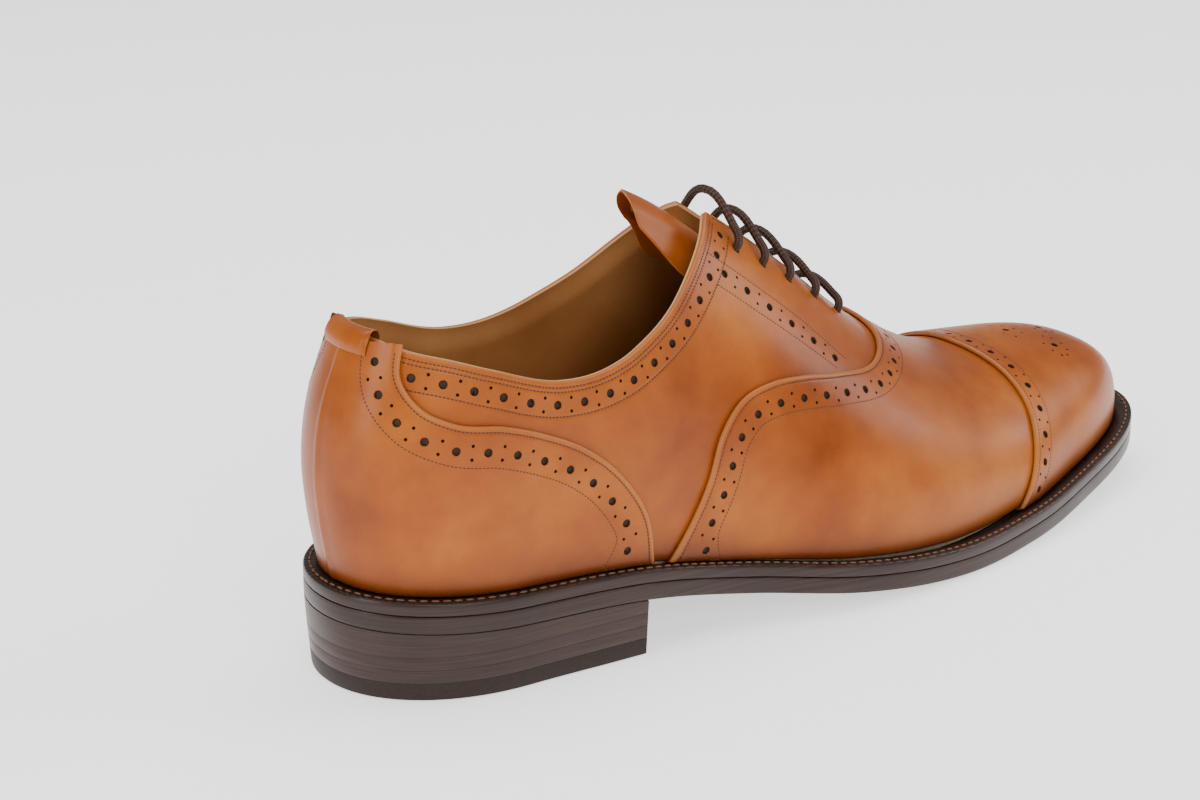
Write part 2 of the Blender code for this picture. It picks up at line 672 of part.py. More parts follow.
def lace_tail(side, k, middle):
    # From an eyelet round the tongue's edge, down the lining, then back along the sock in slow bends.
    points = []
    for share, b, offset in TAIL_SPOTS:
        x = EYELET_X[k] + (TAIL_START_X - EYELET_X[k]) * share
        points.append(shoe_point(share_of(x), side * b, offset) / MM)
    for step in range(TAIL_STEPS):
        x = TAIL_START_X - 4 - TAIL_STEP * step
        y = middle + side * (TAIL_WAVE * (math.cos(0.8 * step) - 0.4) - TAIL_DRIFT * step)
        points.append(Vector((x, y, sole_height(x) + SOCK[1] + 2 * GAP + LACE_RADIUS)))
    return points


def lace_route():
    # Bars 1, 3 and 5 and bars 2 and 4 are laced by the two ends; every length between eyelets lies inside.
    left, right = -1, 1
    route = lace_tail(left, 3, TAIL_Y[0])[::-1]
    route += lace_through(left, 3, False) + lace_bar(3) + lace_through(right, 3, True)
    route += lace_run(right, 3, 1, -0.042)
    route += lace_through(right, 1, False) + lace_bar(1) + lace_through(left, 1, True)
    route += lace_run(left, 1, 0, 0.0)
    route += lace_through(left, 0, False) + lace_bar(0) + lace_through(right, 0, True)
    route += lace_run(right, 0, 2, 0.042)
    route += lace_through(right, 2, False) + lace_bar(2) + lace_through(left, 2, True)
    route += lace_run(left, 2, 4, -0.042)
    route += lace_through(left, 4, False) + lace_bar(4) + lace_through(right, 4, True)
    route += lace_tail(right, 4, TAIL_Y[1])
    return route


def make_lace():
    route = lace_route()
    length = sum((q - p).length for p, q in zip(route, route[1:]))
    print(f"lace {length:.1f} mm, {len(route)} points")
    curve = bpy.data.curves.new("lace", "CURVE")
    curve.dimensions = "3D"
    curve.bevel_depth = LACE_RADIUS * MM
    curve.bevel_resolution = 2
    curve.use_fill_caps = True
    spline = curve.splines.new("POLY")
    spline.points.add(len(route) - 1)
    for point, place in zip(spline.points, route):
        point.co = (*(place * MM), 1.0)
    add_object("lace", curve, LACE_BROWN)
    for word, end, before in (("lateral", route[0], route[1]), ("medial", route[-1], route[-2])):
        ahead = (end - before).normalized()
        start = (end + ahead * GAP) * MM
        make_pin("aglet_" + word, start, start + ahead * AGLET_LENGTH * MM, AGLET_RADIUS, 8, AGLET)


def main():
    clear_scene()
    forepart = bpy.data.objects.new("forepart_hinge", None)
    hinge = bpy.data.objects.new("tongue_hinge", None)
    for empty in (forepart, hinge):
        bpy.context.scene.collection.objects.link(empty)
    forepart.location = Vector((FLEX_X, 0, sole_height(FLEX_X) + SOCK[1] + GAP / 2)) * MM
    hinge.location = shoe_point(share_of(44), 0.0, TONGUE_LAYER[0])
    bpy.context.view_layer.update()
    make_forepart_uppers(forepart)
    make_quarters()
    make_heel_pieces()
    make_tongue(hinge)
    make_sole(forepart)
    make_heel()
    make_lace()
    for obj in bpy.data.objects:
        if obj.parent is None:
            obj.location += Vector(FRAME_SHIFT) * MM


main()
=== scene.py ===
import math

import bmesh
import bpy
import numpy as np
from mathutils import Matrix, Vector, kdtree


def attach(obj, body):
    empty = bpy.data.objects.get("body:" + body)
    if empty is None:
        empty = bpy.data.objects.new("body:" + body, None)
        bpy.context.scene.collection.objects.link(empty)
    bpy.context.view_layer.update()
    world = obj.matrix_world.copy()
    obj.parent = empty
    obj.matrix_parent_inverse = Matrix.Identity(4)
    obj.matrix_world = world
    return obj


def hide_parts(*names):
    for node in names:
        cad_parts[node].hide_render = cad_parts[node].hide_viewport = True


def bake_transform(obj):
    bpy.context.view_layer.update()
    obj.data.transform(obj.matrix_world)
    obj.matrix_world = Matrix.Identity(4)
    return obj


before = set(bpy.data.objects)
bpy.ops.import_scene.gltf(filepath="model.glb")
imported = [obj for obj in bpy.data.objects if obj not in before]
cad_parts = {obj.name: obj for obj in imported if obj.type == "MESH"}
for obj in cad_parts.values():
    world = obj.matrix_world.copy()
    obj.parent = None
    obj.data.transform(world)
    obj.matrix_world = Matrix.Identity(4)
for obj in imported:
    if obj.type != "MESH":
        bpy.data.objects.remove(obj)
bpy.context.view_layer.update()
millimetre = 0.001
frameShift = np.array((1.25, 0.46, 0.0))

camera = {"azimuth": -36.9, "elevation": 19.8, "distance": 0.7192, "lens": 70.85,
          "target": (-0.02545, 0.04616, 0.0387)}

last = {
    "heelX": -145.0, "toeX": 143.0,
    "stations": (-145, -110, -75, -40, -5, 30, 65, 100, 143),
    "lateralFeather": (-30.5, -32.5, -36.5, -39.5, -47.5, -48.5, -43, -34.5, -30),
    "medialFeather": (30.5, 30, 28, 29, 36, 44, 47, 42, 30),
    "ridgeRise": (120, 118, 112, 104, 85, 61, 41, 32.5, 26),
    "ridgeY": (0, 0, 0, 2, 4, 5, 5, 4, 2.5),
    "lateralBulge": (8, 7.5, 6, 5, 5, 5, 4, 3, 1.5),
    "medialBulge": (7, 6.5, 5, 3, 4, 5, 5, 3.5, 2),
    "lateralWall": (45, 45, 40, 34, 30, 26, 20, 22, 25),
    "medialWall": (45, 45, 42, 36, 32, 26, 20, 22, 25),
    "ridgeFlat": (0.7, 0.7, 0.64, 0.56, 0.5, 0.53, 0.6, 0.6, 0.56),
    "ridgeDrop": (10, 10, 10, 7, 3.5, 2.5, 1.2, 0.4, 0),
    "heelRound": (36.0, 2.1), "toeRound": (72.0, 2.2), "toeHeight": (38.5, 2.4),
    "heelCurveZ": (0, 15, 30, 45, 60, 80, 130), "heelCurveX": (-4, -6.5, -7.5, -5.5, 0, 9, 24),
    "heelCurveReach": 70.0,
}

sole = {
    "x": (-155, -110, -75, -40, -5, 20, 45, 65, 100, 141, 155),
    "z": (20, 18, 16.3, 10, 4.2, 1.2, 0, 0.7, 3.6, 9, 11.2),
    "edgeX": (-145, -90, -60, 0, 40, 143), "edgeMargin": (4.0, 3.4, 3.0, 5.0, 6.0, 7.5),
    "featherRise": 9.3, "sockTop": 12.1,
    "breastX": -74.0, "breastHollow": 3.0, "heelTaper": 1.2, "heelSeat": 17.0,
}

# Seams as (station x, girth b): b is 0 on the ridge and 1 on the feather line.
topline = ((-145, 0.540), (-138, 0.555), (-127.5, 0.570), (-115, 0.592), (-95.5, 0.617), (-86, 0.607),
           (-76, 0.577), (-67, 0.533), (-56, 0.463), (-46, 0.372), (-36, 0.255), (-28, 0.130))
vampEdge = ((-65, 1.0), (-60, 0.925), (-52.5, 0.808), (-47, 0.708), (-38.5, 0.628), (-27.5, 0.575),
            (-15, 0.535), (-2.5, 0.50), (13, 0.433), (25.5, 0.308), (33, 0.165), (35, 0.0))
counterEdge = ((-70, 1.0), (-73, 0.883), (-80.5, 0.80), (-91, 0.742), (-102.5, 0.708), (-113, 0.688),
               (-126, 0.675), (-133, 0.648), (-137.5, 0.600), (-138.2, 0.545))
capSeam = ((65, 1.0), (70, 0.875), (75, 0.708), (79, 0.533), (80.5, 0.325), (79, 0.10), (78, 0.0))
facing = {"x": (-28, 34), "b": (0.130, 0.080)}
eyelets = {"x": (19, 8, -3, -13, -23), "b": (0.185, 0.210, 0.225, 0.230, 0.235)}


def smooth(xs, ys, x):
    # Cubic through the points with Catmull-Rom slopes, held level past both ends.
    xs = np.asarray(xs, float)
    ys = np.asarray(ys, float)
    slopes = np.gradient(ys, xs)
    x = np.clip(x, xs[0], xs[-1])
    i = np.clip(np.searchsorted(xs, x) - 1, 0, len(xs) - 2)
    step = xs[i + 1] - xs[i]
    t = (x - xs[i]) / step
    rise = t * t * (3 - 2 * t)
    return (ys[i] + rise * (ys[i + 1] - ys[i]) + t * (1 - t) ** 2 * step * slopes[i]
            + t * t * (t - 1) * step * slopes[i + 1])


def rounded(distance, shape):
    t = np.clip(distance / shape[0], 0.0, 1.0)
    return (1 - (1 - t) ** shape[1]) ** (1 / shape[1])


def soleHeight(x):
    return smooth(sole["x"], sole["z"], x)


def stationOf(a):
    middle = (last["heelX"] + last["toeX"]) / 2
    return middle - (last["toeX"] - middle) * np.cos(np.pi * np.asarray(a, float))


def shareOf(x):
    middle = (last["heelX"] + last["toeX"]) / 2
    return np.arccos(np.clip((middle - np.asarray(x, float)) / (last["toeX"] - middle), -1, 1)) / np.pi


def lastPoint(a, b):
    # a runs from heel to toe; b is -1 on the lateral feather line, 0 on the ridge and 1 on the medial one.
    a, b = np.broadcast_arrays(np.asarray(a, float), np.asarray(b, float))
    x = stationOf(a)
    width = rounded(x - last["heelX"], last["heelRound"]) * rounded(last["toeX"] - x, last["toeRound"])
    height = rounded(last["toeX"] - x, last["toeHeight"])

    def sided(kind):
        return np.where(b < 0, smooth(last["stations"], last["lateral" + kind], x),
                        smooth(last["stations"], last["medial" + kind], x))

    feather = sided("Feather")
    side = feather + np.where(b < 0, -1, 1) * sided("Bulge")
    ridgeY = smooth(last["stations"], last["ridgeY"], x)
    ridgeZ = smooth(last["stations"], last["ridgeRise"], x)
    shoulderY = ridgeY + smooth(last["stations"], last["ridgeFlat"], x) * (feather - ridgeY)
    shoulderZ = ridgeZ - smooth(last["stations"], last["ridgeDrop"], x)
    t = 1 - np.abs(b)
    first, second, third, fourth = (1 - t) ** 3, 3 * t * (1 - t) ** 2, 3 * t * t * (1 - t), t ** 3
    y = width * (first * feather + second * side + third * shoulderY + fourth * ridgeY)
    rise = height * (second * sided("Wall") + third * shoulderZ + fourth * ridgeZ)
    fade = np.clip(1 - (x - last["heelX"]) / last["heelCurveReach"], 0, 1) ** 2
    x = x + fade * smooth(last["heelCurveZ"], last["heelCurveX"], rise)
    return np.stack((x, y, soleHeight(x) + sole["featherRise"] + rise), axis=-1)


def slopesOf(a, b, step=0.004):
    a = np.clip(a, 0.012, 0.985)
    b = np.clip(b, step - 1, 1 - step)
    along = (lastPoint(a + step, b) - lastPoint(a - step, b)) / (2 * step)
    around = (lastPoint(a, b + step) - lastPoint(a, b - step)) / (2 * step)
    return along, around


def unit(vectors):
    return vectors / np.maximum(np.linalg.norm(vectors, axis=-1, keepdims=True), 1e-9)


def lastNormal(a, b):
    a, b = np.broadcast_arrays(np.asarray(a, float), np.asarray(b, float))
    along, around = slopesOf(a, b)
    lift = unit(np.cross(along, around))
    fade = np.clip(a / 0.012, 0, 1)
    lift = unit(np.stack((lift[..., 0], lift[..., 1] * fade, lift[..., 2]), axis=-1))
    return np.where((a > 0.999)[..., None], np.array((1.0, 0.0, 0.0)), lift)


def onLast(a, b, offset):
    offset = np.asarray(offset, float)[..., None]
    return (lastPoint(a, b) + lastNormal(a, b) * offset + frameShift) * millimetre


def runAlong(place):
    # The length so far at every point of a path.
    return np.concatenate(([0.0], np.cumsum(np.linalg.norm(np.diff(place, axis=0), axis=1))))


def curveThrough(points, t):
    # Smooth curve through (x, b) points, by its chord lengths, at shares t.
    points = np.asarray(points, float)
    along = runAlong(points * (1, 100))
    return smooth(along / along[-1], points[:, 0], t), smooth(along / along[-1], points[:, 1], t)


def bothSides(seam):
    # A seam from the lateral feather line over the ridge to the medial one.
    lateral = [(x, -b) for x, b in seam]
    return lateral + [(x, b) for x, b in seam[:-1]][::-1]


def onSide(seam, side):
    return [(x, side * b) for x, b in seam]


rowSteps = {"along": 0.8, "across": 0.3, "field": 0.8, "samples": 3000}


def edgeOf(points):
    # Columns along a seam: (a, b, distance from its start).
    t = np.linspace(0, 1, rowSteps["samples"])
    x, b = curveThrough(points, t)
    run = runAlong(lastPoint(shareOf(x), b))
    distances = np.linspace(0, run[-1], max(2, int(round(run[-1] / rowSteps["along"]))) + 1)
    x, b = curveThrough(points, np.interp(distances, run, t))
    return shareOf(x), b, distances


def march(a, b, turn, reach):
    # Walks from an edge over the last, square to it: one row of a and one of b for each step.
    step = rowSteps["across"]
    rows = [(a, b)]
    for _ in range(int(math.ceil(reach / step))):
        along = unit(np.gradient(lastPoint(a, b), axis=0))
        inward = turn * unit(np.cross(lastNormal(a, b), along)) * step
        first, second = slopesOf(a, b)
        ff, fs, ss = (first * first).sum(-1), (first * second).sum(-1), (second * second).sum(-1)
        fi, si = (first * inward).sum(-1), (second * inward).sum(-1)
        bottom = ff * ss - fs * fs
        a = np.clip(a + (fi * ss - si * fs) / bottom, 0.0, 1.0)
        b = np.clip(b + (si * ff - fi * fs) / bottom, -1.0, 1.0)
        rows.append((a, b))
    return np.array([r[0] for r in rows]), np.array([r[1] for r in rows])


def atDepth(ladder, depth):
    level = np.clip(depth / rowSteps["across"], 0, len(ladder[0]) - 1.001)
    i = int(level)
    share = level - i
    return tuple(rows[i] * (1 - share) + rows[i + 1] * share for rows in ladder)


def pinEnds(ladder, distances, lines, ramp):
    # Bends the ends of a band's rows onto the lines that bound it: line(depth) gives (a, b).
    a, b = ladder
    fromEnds = (distances, distances[-1] - distances)
    for m in range(len(a)):
        for line, gap, end in zip(lines, fromEnds, (0, -1)):
            if line is None:
                continue
            weight = np.clip(1 - gap / ramp, 0, 1) ** 2
            target = line(m * rowSteps["across"])
            a[m] += weight * (target[0] - a[m, end])
            b[m] += weight * (target[1] - b[m, end])
    return a, b


class Sheet:
    # The grid that one leather piece is made from: points, normals, and a rim value that is 1 on a cut edge.
    def __init__(self):
        self.rows = []

    def add(self, a, b, offset, rim=0.0):
        self.rows.append(np.broadcast_arrays(np.asarray(a, float), b, offset, rim))

    def done(self):
        a, b, offset, rim = np.moveaxis(np.array(self.rows, float), 1, 0)
        self.place(a, b, offset, rim)

    def place(self, a, b, offset, rim):
        self.points, self.normals, self.rim = onLast(a, b, offset), lastNormal(a, b), rim

    def extend(self, axis, end, lines):
        # Adds lines of points past one end of an axis, 0 for rows and 1 for columns.
        lines = lines[::-1] if end == 0 else lines
        points = np.stack(lines, axis)
        normals = np.stack([self.normals.take(end, axis)] * len(lines), axis)
        pairs = ((points, self.points), (normals, self.normals), (np.ones(points.shape[:2]), self.rim))
        self.points, self.normals, self.rim = (
            np.concatenate(pair if end == 0 else pair[::-1], axis) for pair in pairs)


tuck = ((0.5, 0.45), (1.6, 0.8))


def tuckUnder(sheet, *edges):
    # Adds a narrow flange where a piece turns in at the feather line, so that no gap shows above the welt.
    for axis, end in edges:
        points, normals = sheet.points.take(end, axis), sheet.normals.take(end, axis)
        flat = unit(normals * np.array((1, 1, 0)))
        sheet.extend(axis, end, [points - (flat * inward + np.array((0, 0, down))) * millimetre
                                 for inward, down in tuck])


def burnish(points):
    # 1 at the feather line, fading over the first centimetres of the wall.
    x, z = points[..., 0] * 1000 - frameShift[0], points[..., 2] * 1000
    rise = z - soleHeight(x) - sole["featherRise"]
    return np.exp(-np.clip(rise, 0, None) / 5.0)


def gridOf(points):
    # Faces over a grid of points, and the row and column of every vertex.
    rows, columns = points.shape[:2]
    bm = bmesh.new()
    bmesh.ops.create_grid(bm, x_segments=columns - 1, y_segments=rows - 1, size=0.5)
    spots = [(round((v.co.y + 0.5) * (rows - 1)), round((v.co.x + 0.5) * (columns - 1))) for v in bm.verts]
    for vert, spot in zip(bm.verts, spots):
        vert.co = points[spot]
    return bm, spots


def gridMesh(points, normals, rim, wear=None):
    # A sheet from a grid, its faces on the side of the normals.
    bm, spots = gridOf(points)
    shade = bm.verts.layers.float.new("burnish")
    edge = bm.verts.layers.float.new("rim")
    bm.verts.layers.int.new("hole")
    dark = burnish(points) if wear is None else wear
    for vert, spot in zip(bm.verts, spots):
        vert.normal = normals[spot]
        vert[shade] = dark[spot]
        vert[edge] = rim[spot]
    agreement = 0.0
    faces = bm.faces[:]
    for face in faces[::max(1, len(faces) // 50)]:
        lift = sum((vert.normal for vert in face.verts), Vector())
        corners = [vert.co for vert in face.verts]
        agreement += face.calc_area() * lift.dot((corners[1] - corners[0]).cross(corners[2] - corners[1]))
    if agreement < 0:
        bmesh.ops.reverse_faces(bm, faces=faces)
    return bm


hole = {"search": 1.0, "inside": 0.9, "flatten": 0.5, "wall": ((0.10, 0.12, 0), (0.04, 0.8, 1))}


def punch(bm, holes):
    # Cuts round holes into a sheet: (place, outward, radius in mm). Walls and bottoms get material 1, whose
    # near-black is partly the darker cut edge and partly painted shade inside the hole.
    bm.verts.ensure_lookup_table()
    tree = kdtree.KDTree(len(bm.verts))
    for vert in bm.verts:
        tree.insert(vert.co, vert.index)
    tree.balance()
    holeLayer = bm.verts.layers.int["hole"]
    gone = set()
    made = []
    for place, outward, radius in holes:
        place, outward = Vector(place), Vector(outward)
        faces = set(bm.verts[tree.find(place)[1]].link_faces)
        for _, index, _ in tree.find_range(place, (radius + hole["search"]) * millimetre):
            faces |= {face for face in bm.verts[index].link_faces
                      if (face.calc_center_median() - place).length < radius * millimetre * hole["inside"]}
        if faces & gone or not faces:
            continue
        ring = [v for v in {v for f in faces for v in f.verts} if any(f not in faces for f in v.link_faces)]
        if any(v[holeLayer] or v.is_boundary for v in ring):
            continue
        gone |= faces
        made.append((place, outward))
        first = outward.orthogonal().normalized()
        second = outward.cross(first)
        arms = [(v.co - place, v.index) for v in ring]
        angles = sorted((math.atan2(arm.dot(second), arm.dot(first)), index) for arm, index in arms)
        turns = [angle - 2 * math.pi * k / len(angles) for k, (angle, _) in enumerate(angles)]
        start = sum(turns) / len(turns)
        for k, (_, index) in enumerate(angles):
            vert = bm.verts[index]
            turn = start + 2 * math.pi * k / len(angles)
            height = (vert.co - place).dot(outward)
            vert.co = place + (first * math.cos(turn) + second * math.sin(turn)) * radius * millimetre
            vert.co += outward * height * hole["flatten"]
            vert[holeLayer] = len(made)
    bmesh.ops.delete(bm, geom=list(gone), context="FACES")
    edges = [e for e in bm.edges if e.is_boundary and all(v[holeLayer] for v in e.verts)]
    for shrink, drop, index in hole["wall"]:
        extruded = bmesh.ops.extrude_edge_only(bm, edges=edges)["geom"]
        for face in (g for g in extruded if isinstance(g, bmesh.types.BMFace)):
            face.material_index = index
        for vert in (g for g in extruded if isinstance(g, bmesh.types.BMVert)):
            place, outward = made[vert[holeLayer] - 1]
            radial = vert.co - place
            vert.co -= (radial - outward * radial.dot(outward)) * shrink + outward * drop * millimetre
        edges = [g for g in extruded if isinstance(g, bmesh.types.BMEdge) and g.is_boundary]
    for face in bmesh.ops.holes_fill(bm, edges=edges, sides=0)["faces"]:
        face.material_index = 1


def toMesh(name, bm):
    mesh = bpy.data.meshes.new(name)
    bm.to_mesh(mesh)
    bm.free()
    return mesh


def addObject(name, data):
    made = bpy.data.objects.new(name, data)
    bpy.context.scene.collection.objects.link(made)
    return made


def finishPiece(name, bm, materials, body=None, replaced=(), sharp=40):
    # With a body, a piece is parented to that body's empty; without one, its transform is baked in.
    bmesh.ops.remove_doubles(bm, verts=bm.verts[:], dist=2e-6)
    mesh = toMesh(name, bm)
    mesh.shade_smooth()
    mesh.set_sharp_from_angle(angle=math.radians(sharp))
    piece = addObject(name, mesh)
    for finish in materials:
        mesh.materials.append(finish)
    if body:
        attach(piece, body)
    else:
        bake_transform(piece)
    if replaced:
        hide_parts(*replaced)


def pathLine(a, b, ratio):
    # A bounding line as a function of a band's depth: ratio is the length of line for each unit of depth.
    a, b = np.broadcast_arrays(a, b)
    run = runAlong(lastPoint(a, b))
    return lambda depth: (np.interp(depth * ratio, run, a), np.interp(depth * ratio, run, b))


def foldRows(base, stitchDepth):
    # An edge folded over, from the turned-in flange to the outer face and the groove under the stitches:
    # depth, offset and rim value of each row.
    # The rim values lighten the colour: partly wear, partly a painted highlight over the rounded fold.
    fold = ((1.6, -1.3, 0.6), (0.5, -1.3, 0.8), (0.12, -1.15, 1.0), (0.0, -0.75, 1.0), (0.10, -0.32, 1.0),
            (0.36, -0.06, 0.9), (0.85, 0.05, 0.5), (1.4, 0.01, 0.1))
    seam = ((-0.3, -0.03, 0.0), (0.0, -0.12, 0.0), (0.35, 0.0, 0.0))
    rows = fold + tuple((stitchDepth + depth, offset, rim) for depth, offset, rim in seam)
    return [(depth, base + offset, rim) for depth, offset, rim in rows]


def bandRows(sheet, ladder, base, stitchDepth, reach):
    for depth, offset, rim in foldRows(base, stitchDepth):
        sheet.add(*atDepth(ladder, depth), offset, rim)
    start = stitchDepth + 1.0
    for depth in np.linspace(start, reach, int(round((reach - start) / rowSteps["field"])) + 1):
        sheet.add(*atDepth(ladder, depth), base)


def alongRow(a, b, offset):
    # A row of the last as a path: its places and normals, and its length so far in mm.
    place = onLast(a, b, offset)
    return place, lastNormal(a, b), runAlong(place) / millimetre


punchWork = {"pitch": 8.3, "big": 1.3, "small": 0.5, "eyelet": 1.55, "pair": 1.8, "facingPair": 1.7}


def holeAt(a, b, base, radius):
    return onLast(a, b, base), lastNormal(a, b), radius


def holesAlong(single, pair, base, margins, pitch):
    # One large hole on the row called single, then a small one on each row of the pair, all along them.
    _, _, run = alongRow(*single, base)
    total = run[-1] - sum(margins)
    count = 2 * max(1, int(round(total / pitch)))
    holes = []
    for k in range(count + 1):
        at = margins[0] + total * k / count
        rows, radius = (pair, punchWork["small"]) if k % 2 else ((single,), punchWork["big"])
        holes += [holeAt(np.interp(at, run, a), np.interp(at, run, b), base, radius) for a, b in rows]
    return holes


def bandHoles(ladder, spec):
    single, above, below = (atDepth(ladder, spec["holes"] + shift)
                            for shift in (0, -punchWork["pair"], punchWork["pair"]))
    return holesAlong(single, (above, below), spec["base"], spec["margins"], spec["pitch"])


def seamHoles(points, base, turn):
    # The same pattern along a line of its own over the last.
    across = punchWork["facingPair"]
    a, b, _ = edgeOf(points)
    pair = [atDepth(march(a, b, way, across + 0.3), across) for way in (-turn, turn)]
    return holesAlong((a, b), pair, base, (1, 1), punchWork["pitch"])


stitch = {"pitch": 1.06, "length": 0.82, "width": 0.42, "height": 0.34, "sink": 0.02}


def stitchesAlong(place, normal, run, ends=0.6, pitch=stitch["pitch"]):
    # The middle of every stitch along a path, with the directions along and out of the leather.
    at = np.arange(ends, run[-1] - ends, pitch)

    def sample(where, values):
        return np.stack([np.interp(where, run, column) for column in values.T], axis=1)

    ahead = sample(at + 0.3, place) - sample(at - 0.3, place)
    return sample(at, place), unit(ahead), unit(sample(at, normal))


def sewStitches(name, rows, finish, body=None, shape=stitch):
    # Every stitch is one small closed bead: a template doubled up until there are enough, then laid out.
    spots, ahead, lift = (np.concatenate([row[i] for row in rows]) for i in range(3))
    bm = bmesh.new()
    bmesh.ops.create_uvsphere(bm, u_segments=6, v_segments=4, radius=0.5)
    bead = toMesh("bead", bm)
    bm = bmesh.new()
    bm.from_mesh(bead)
    bpy.data.meshes.remove(bead)
    template = np.array([v.co for v in bm.verts])[:, [2, 0, 1]]
    size = len(template)
    while len(bm.verts) < size * len(spots):
        bmesh.ops.duplicate(bm, geom=bm.verts[:] + bm.edges[:] + bm.faces[:])
    bm.verts.ensure_lookup_table()
    side = np.cross(lift, ahead)
    local = template * np.array((shape["length"], shape["width"], shape["height"])) * millimetre
    local[:, 2] -= shape["sink"] * millimetre
    ways = enumerate((ahead, side, lift))
    laid = spots[:, None] + sum(local[None, :, i, None] * way[:, None] for i, way in ways)
    for vert, place in zip(bm.verts, laid.reshape(-1, 3)):
        vert.co = place
    bmesh.ops.delete(bm, geom=bm.verts[size * len(spots):], context="VERTS")
    finishPiece(name, bm, [finish], body, sharp=180)


class Wire:
    # A node's output that can be used in sums.
    def __init__(self, finish, socket):
        self.finish = finish
        self.socket = socket

    def combine(self, operation, left, right):
        return self.finish.node("ShaderNodeMath", {"operation": operation}, {0: left, 1: right})

    def __add__(self, other):
        return self.combine("ADD", self, other)

    def __sub__(self, other):
        return self.combine("SUBTRACT", self, other)

    def __rsub__(self, other):
        return self.combine("SUBTRACT", other, self)

    def __mul__(self, other):
        return self.combine("MULTIPLY", self, other)

    __radd__ = __add__
    __rmul__ = __mul__


class Finish:
    # One material: its nodes are made by node(), its shader's sockets set by shade().
    def __init__(self, name):
        self.material = bpy.data.materials.new(name)
        self.material.use_nodes = True
        self.tree = self.material.node_tree
        self.shader = self.tree.nodes["Principled BSDF"]
        self.place = self.node("ShaderNodeTexCoord", output="Object")

    def node(self, kind, settings=None, inputs=None, output=0):
        made = self.tree.nodes.new(kind)
        for key, value in (settings or {}).items():
            if key == "stops":
                while len(made.color_ramp.elements) < len(value):
                    made.color_ramp.elements.new(0.5)
                for element, (position, colour) in zip(made.color_ramp.elements, value):
                    element.position = position
                    element.color = (*colour, 1.0)
            else:
                setattr(made, key, value)
        for key, value in (inputs or {}).items():
            if isinstance(value, Wire):
                self.tree.links.new(value.socket, made.inputs[key])
            else:
                made.inputs[key].default_value = value
        return Wire(self, made.outputs[output])

    def shade(self, **sockets):
        for key, value in sockets.items():
            socket = self.shader.inputs[key.replace("_", " ")]
            if isinstance(value, Wire):
                self.tree.links.new(value.socket, socket)
            else:
                socket.default_value = value
        return self.material

    def noise(self, scale, detail=3.0, roughness=0.5, stretch=None):
        where = self.place
        if stretch:
            where = self.node("ShaderNodeMapping", inputs={"Vector": where, "Scale": stretch})
        return self.node("ShaderNodeTexNoise", inputs={"Vector": where, "Scale": scale, "Detail": detail,
                                                       "Roughness": roughness})

    def cells(self, scale, feature="F1"):
        return self.node("ShaderNodeTexVoronoi", {"feature": feature}, {"Vector": self.place, "Scale": scale},
                         output="Distance")

    def attribute(self, name):
        return self.node("ShaderNodeAttribute", {"attribute_name": name}, output="Fac")

    def ramp(self, factor, *stops):
        return self.node("ShaderNodeValToRGB", {"stops": stops}, {"Fac": factor}, output="Color")

    def span(self, value, low, high, start=0.0, end=1.0):
        return self.node("ShaderNodeMapRange", inputs={"Value": value, "From Min": low, "From Max": high,
                                                       "To Min": start, "To Max": end})

    def blend(self, factor, first, second, kind="MIX"):
        settings = {"data_type": "RGBA", "blend_type": kind}
        first, second = ((*c, 1.0) if isinstance(c, tuple) else c for c in (first, second))
        return self.node("ShaderNodeMix", settings, {0: factor, 6: first, 7: second}, output=2)

    def bump(self, height, distance, strength=1.0, under=None):
        inputs = {"Height": height, "Distance": distance, "Strength": strength}
        if under:
            inputs["Normal"] = under
        return self.node("ShaderNodeBump", inputs=inputs, output="Normal")


# edge is the lighter colour along the edges: partly the edges' own wear, partly a painted highlight on
# rounded folds.
leather = {"light": (0.41, 0.112, 0.009), "middle": (0.315, 0.070, 0.0040), "deep": (0.205, 0.038, 0.0018),
           "burnt": (0.050, 0.008, 0.0008), "edge": (0.46, 0.165, 0.040), "grain": 1900.0}


def makeLeather(name="tanCalf"):
    finish = Finish(name)
    cloud = finish.noise(22.0, 4.0, 0.55)
    colour = finish.ramp(cloud, (0.34, leather["deep"]), (0.50, leather["middle"]), (0.66, leather["light"]))
    streak = finish.noise(90.0, 5.0, 0.6, stretch=(1.0, 2.5, 1.6))
    colour = finish.blend(finish.span(streak, 0.42, 0.72, 0.0, 0.22), colour, leather["deep"])
    pores = finish.cells(leather["grain"])
    colour = finish.blend(finish.span(pores, 0.0, 0.42, 0.16, 0.0), colour, leather["burnt"])
    dark = finish.attribute("burnish")
    colour = finish.blend(finish.span(dark, 0.08, 1.0, 0.0, 0.86), colour, leather["burnt"])
    # Lighter along the edges: partly wear, partly a painted highlight where folded and rolled edges round
    # over.
    rim = finish.attribute("rim")
    colour = finish.blend(rim * 0.55, colour, leather["edge"])
    rough = finish.span(finish.noise(45.0, 4.0), 0.3, 0.7, 0.30, 0.44)
    wrinkle = finish.noise(420.0, 6.0, 0.6)
    normal = finish.bump(pores, 0.00005, 0.35)
    normal = finish.bump(wrinkle, 0.00008, 0.5, under=normal)
    return finish.shade(Base_Color=colour, Roughness=rough, Normal=normal, Coat_Weight=0.06,
                        Coat_Roughness=0.16, Specular_IOR_Level=0.22)


def makeHoleFinish():
    finish = Finish("punchedEdgeAndShade")
    # Near-black for the holes: partly the darker cut edge and underlay, partly painted shade in the recess.
    colour = finish.blend(finish.noise(900.0), (0.018, 0.008, 0.004), (0.06, 0.026, 0.012))
    return finish.shade(Base_Color=colour, Roughness=0.85)


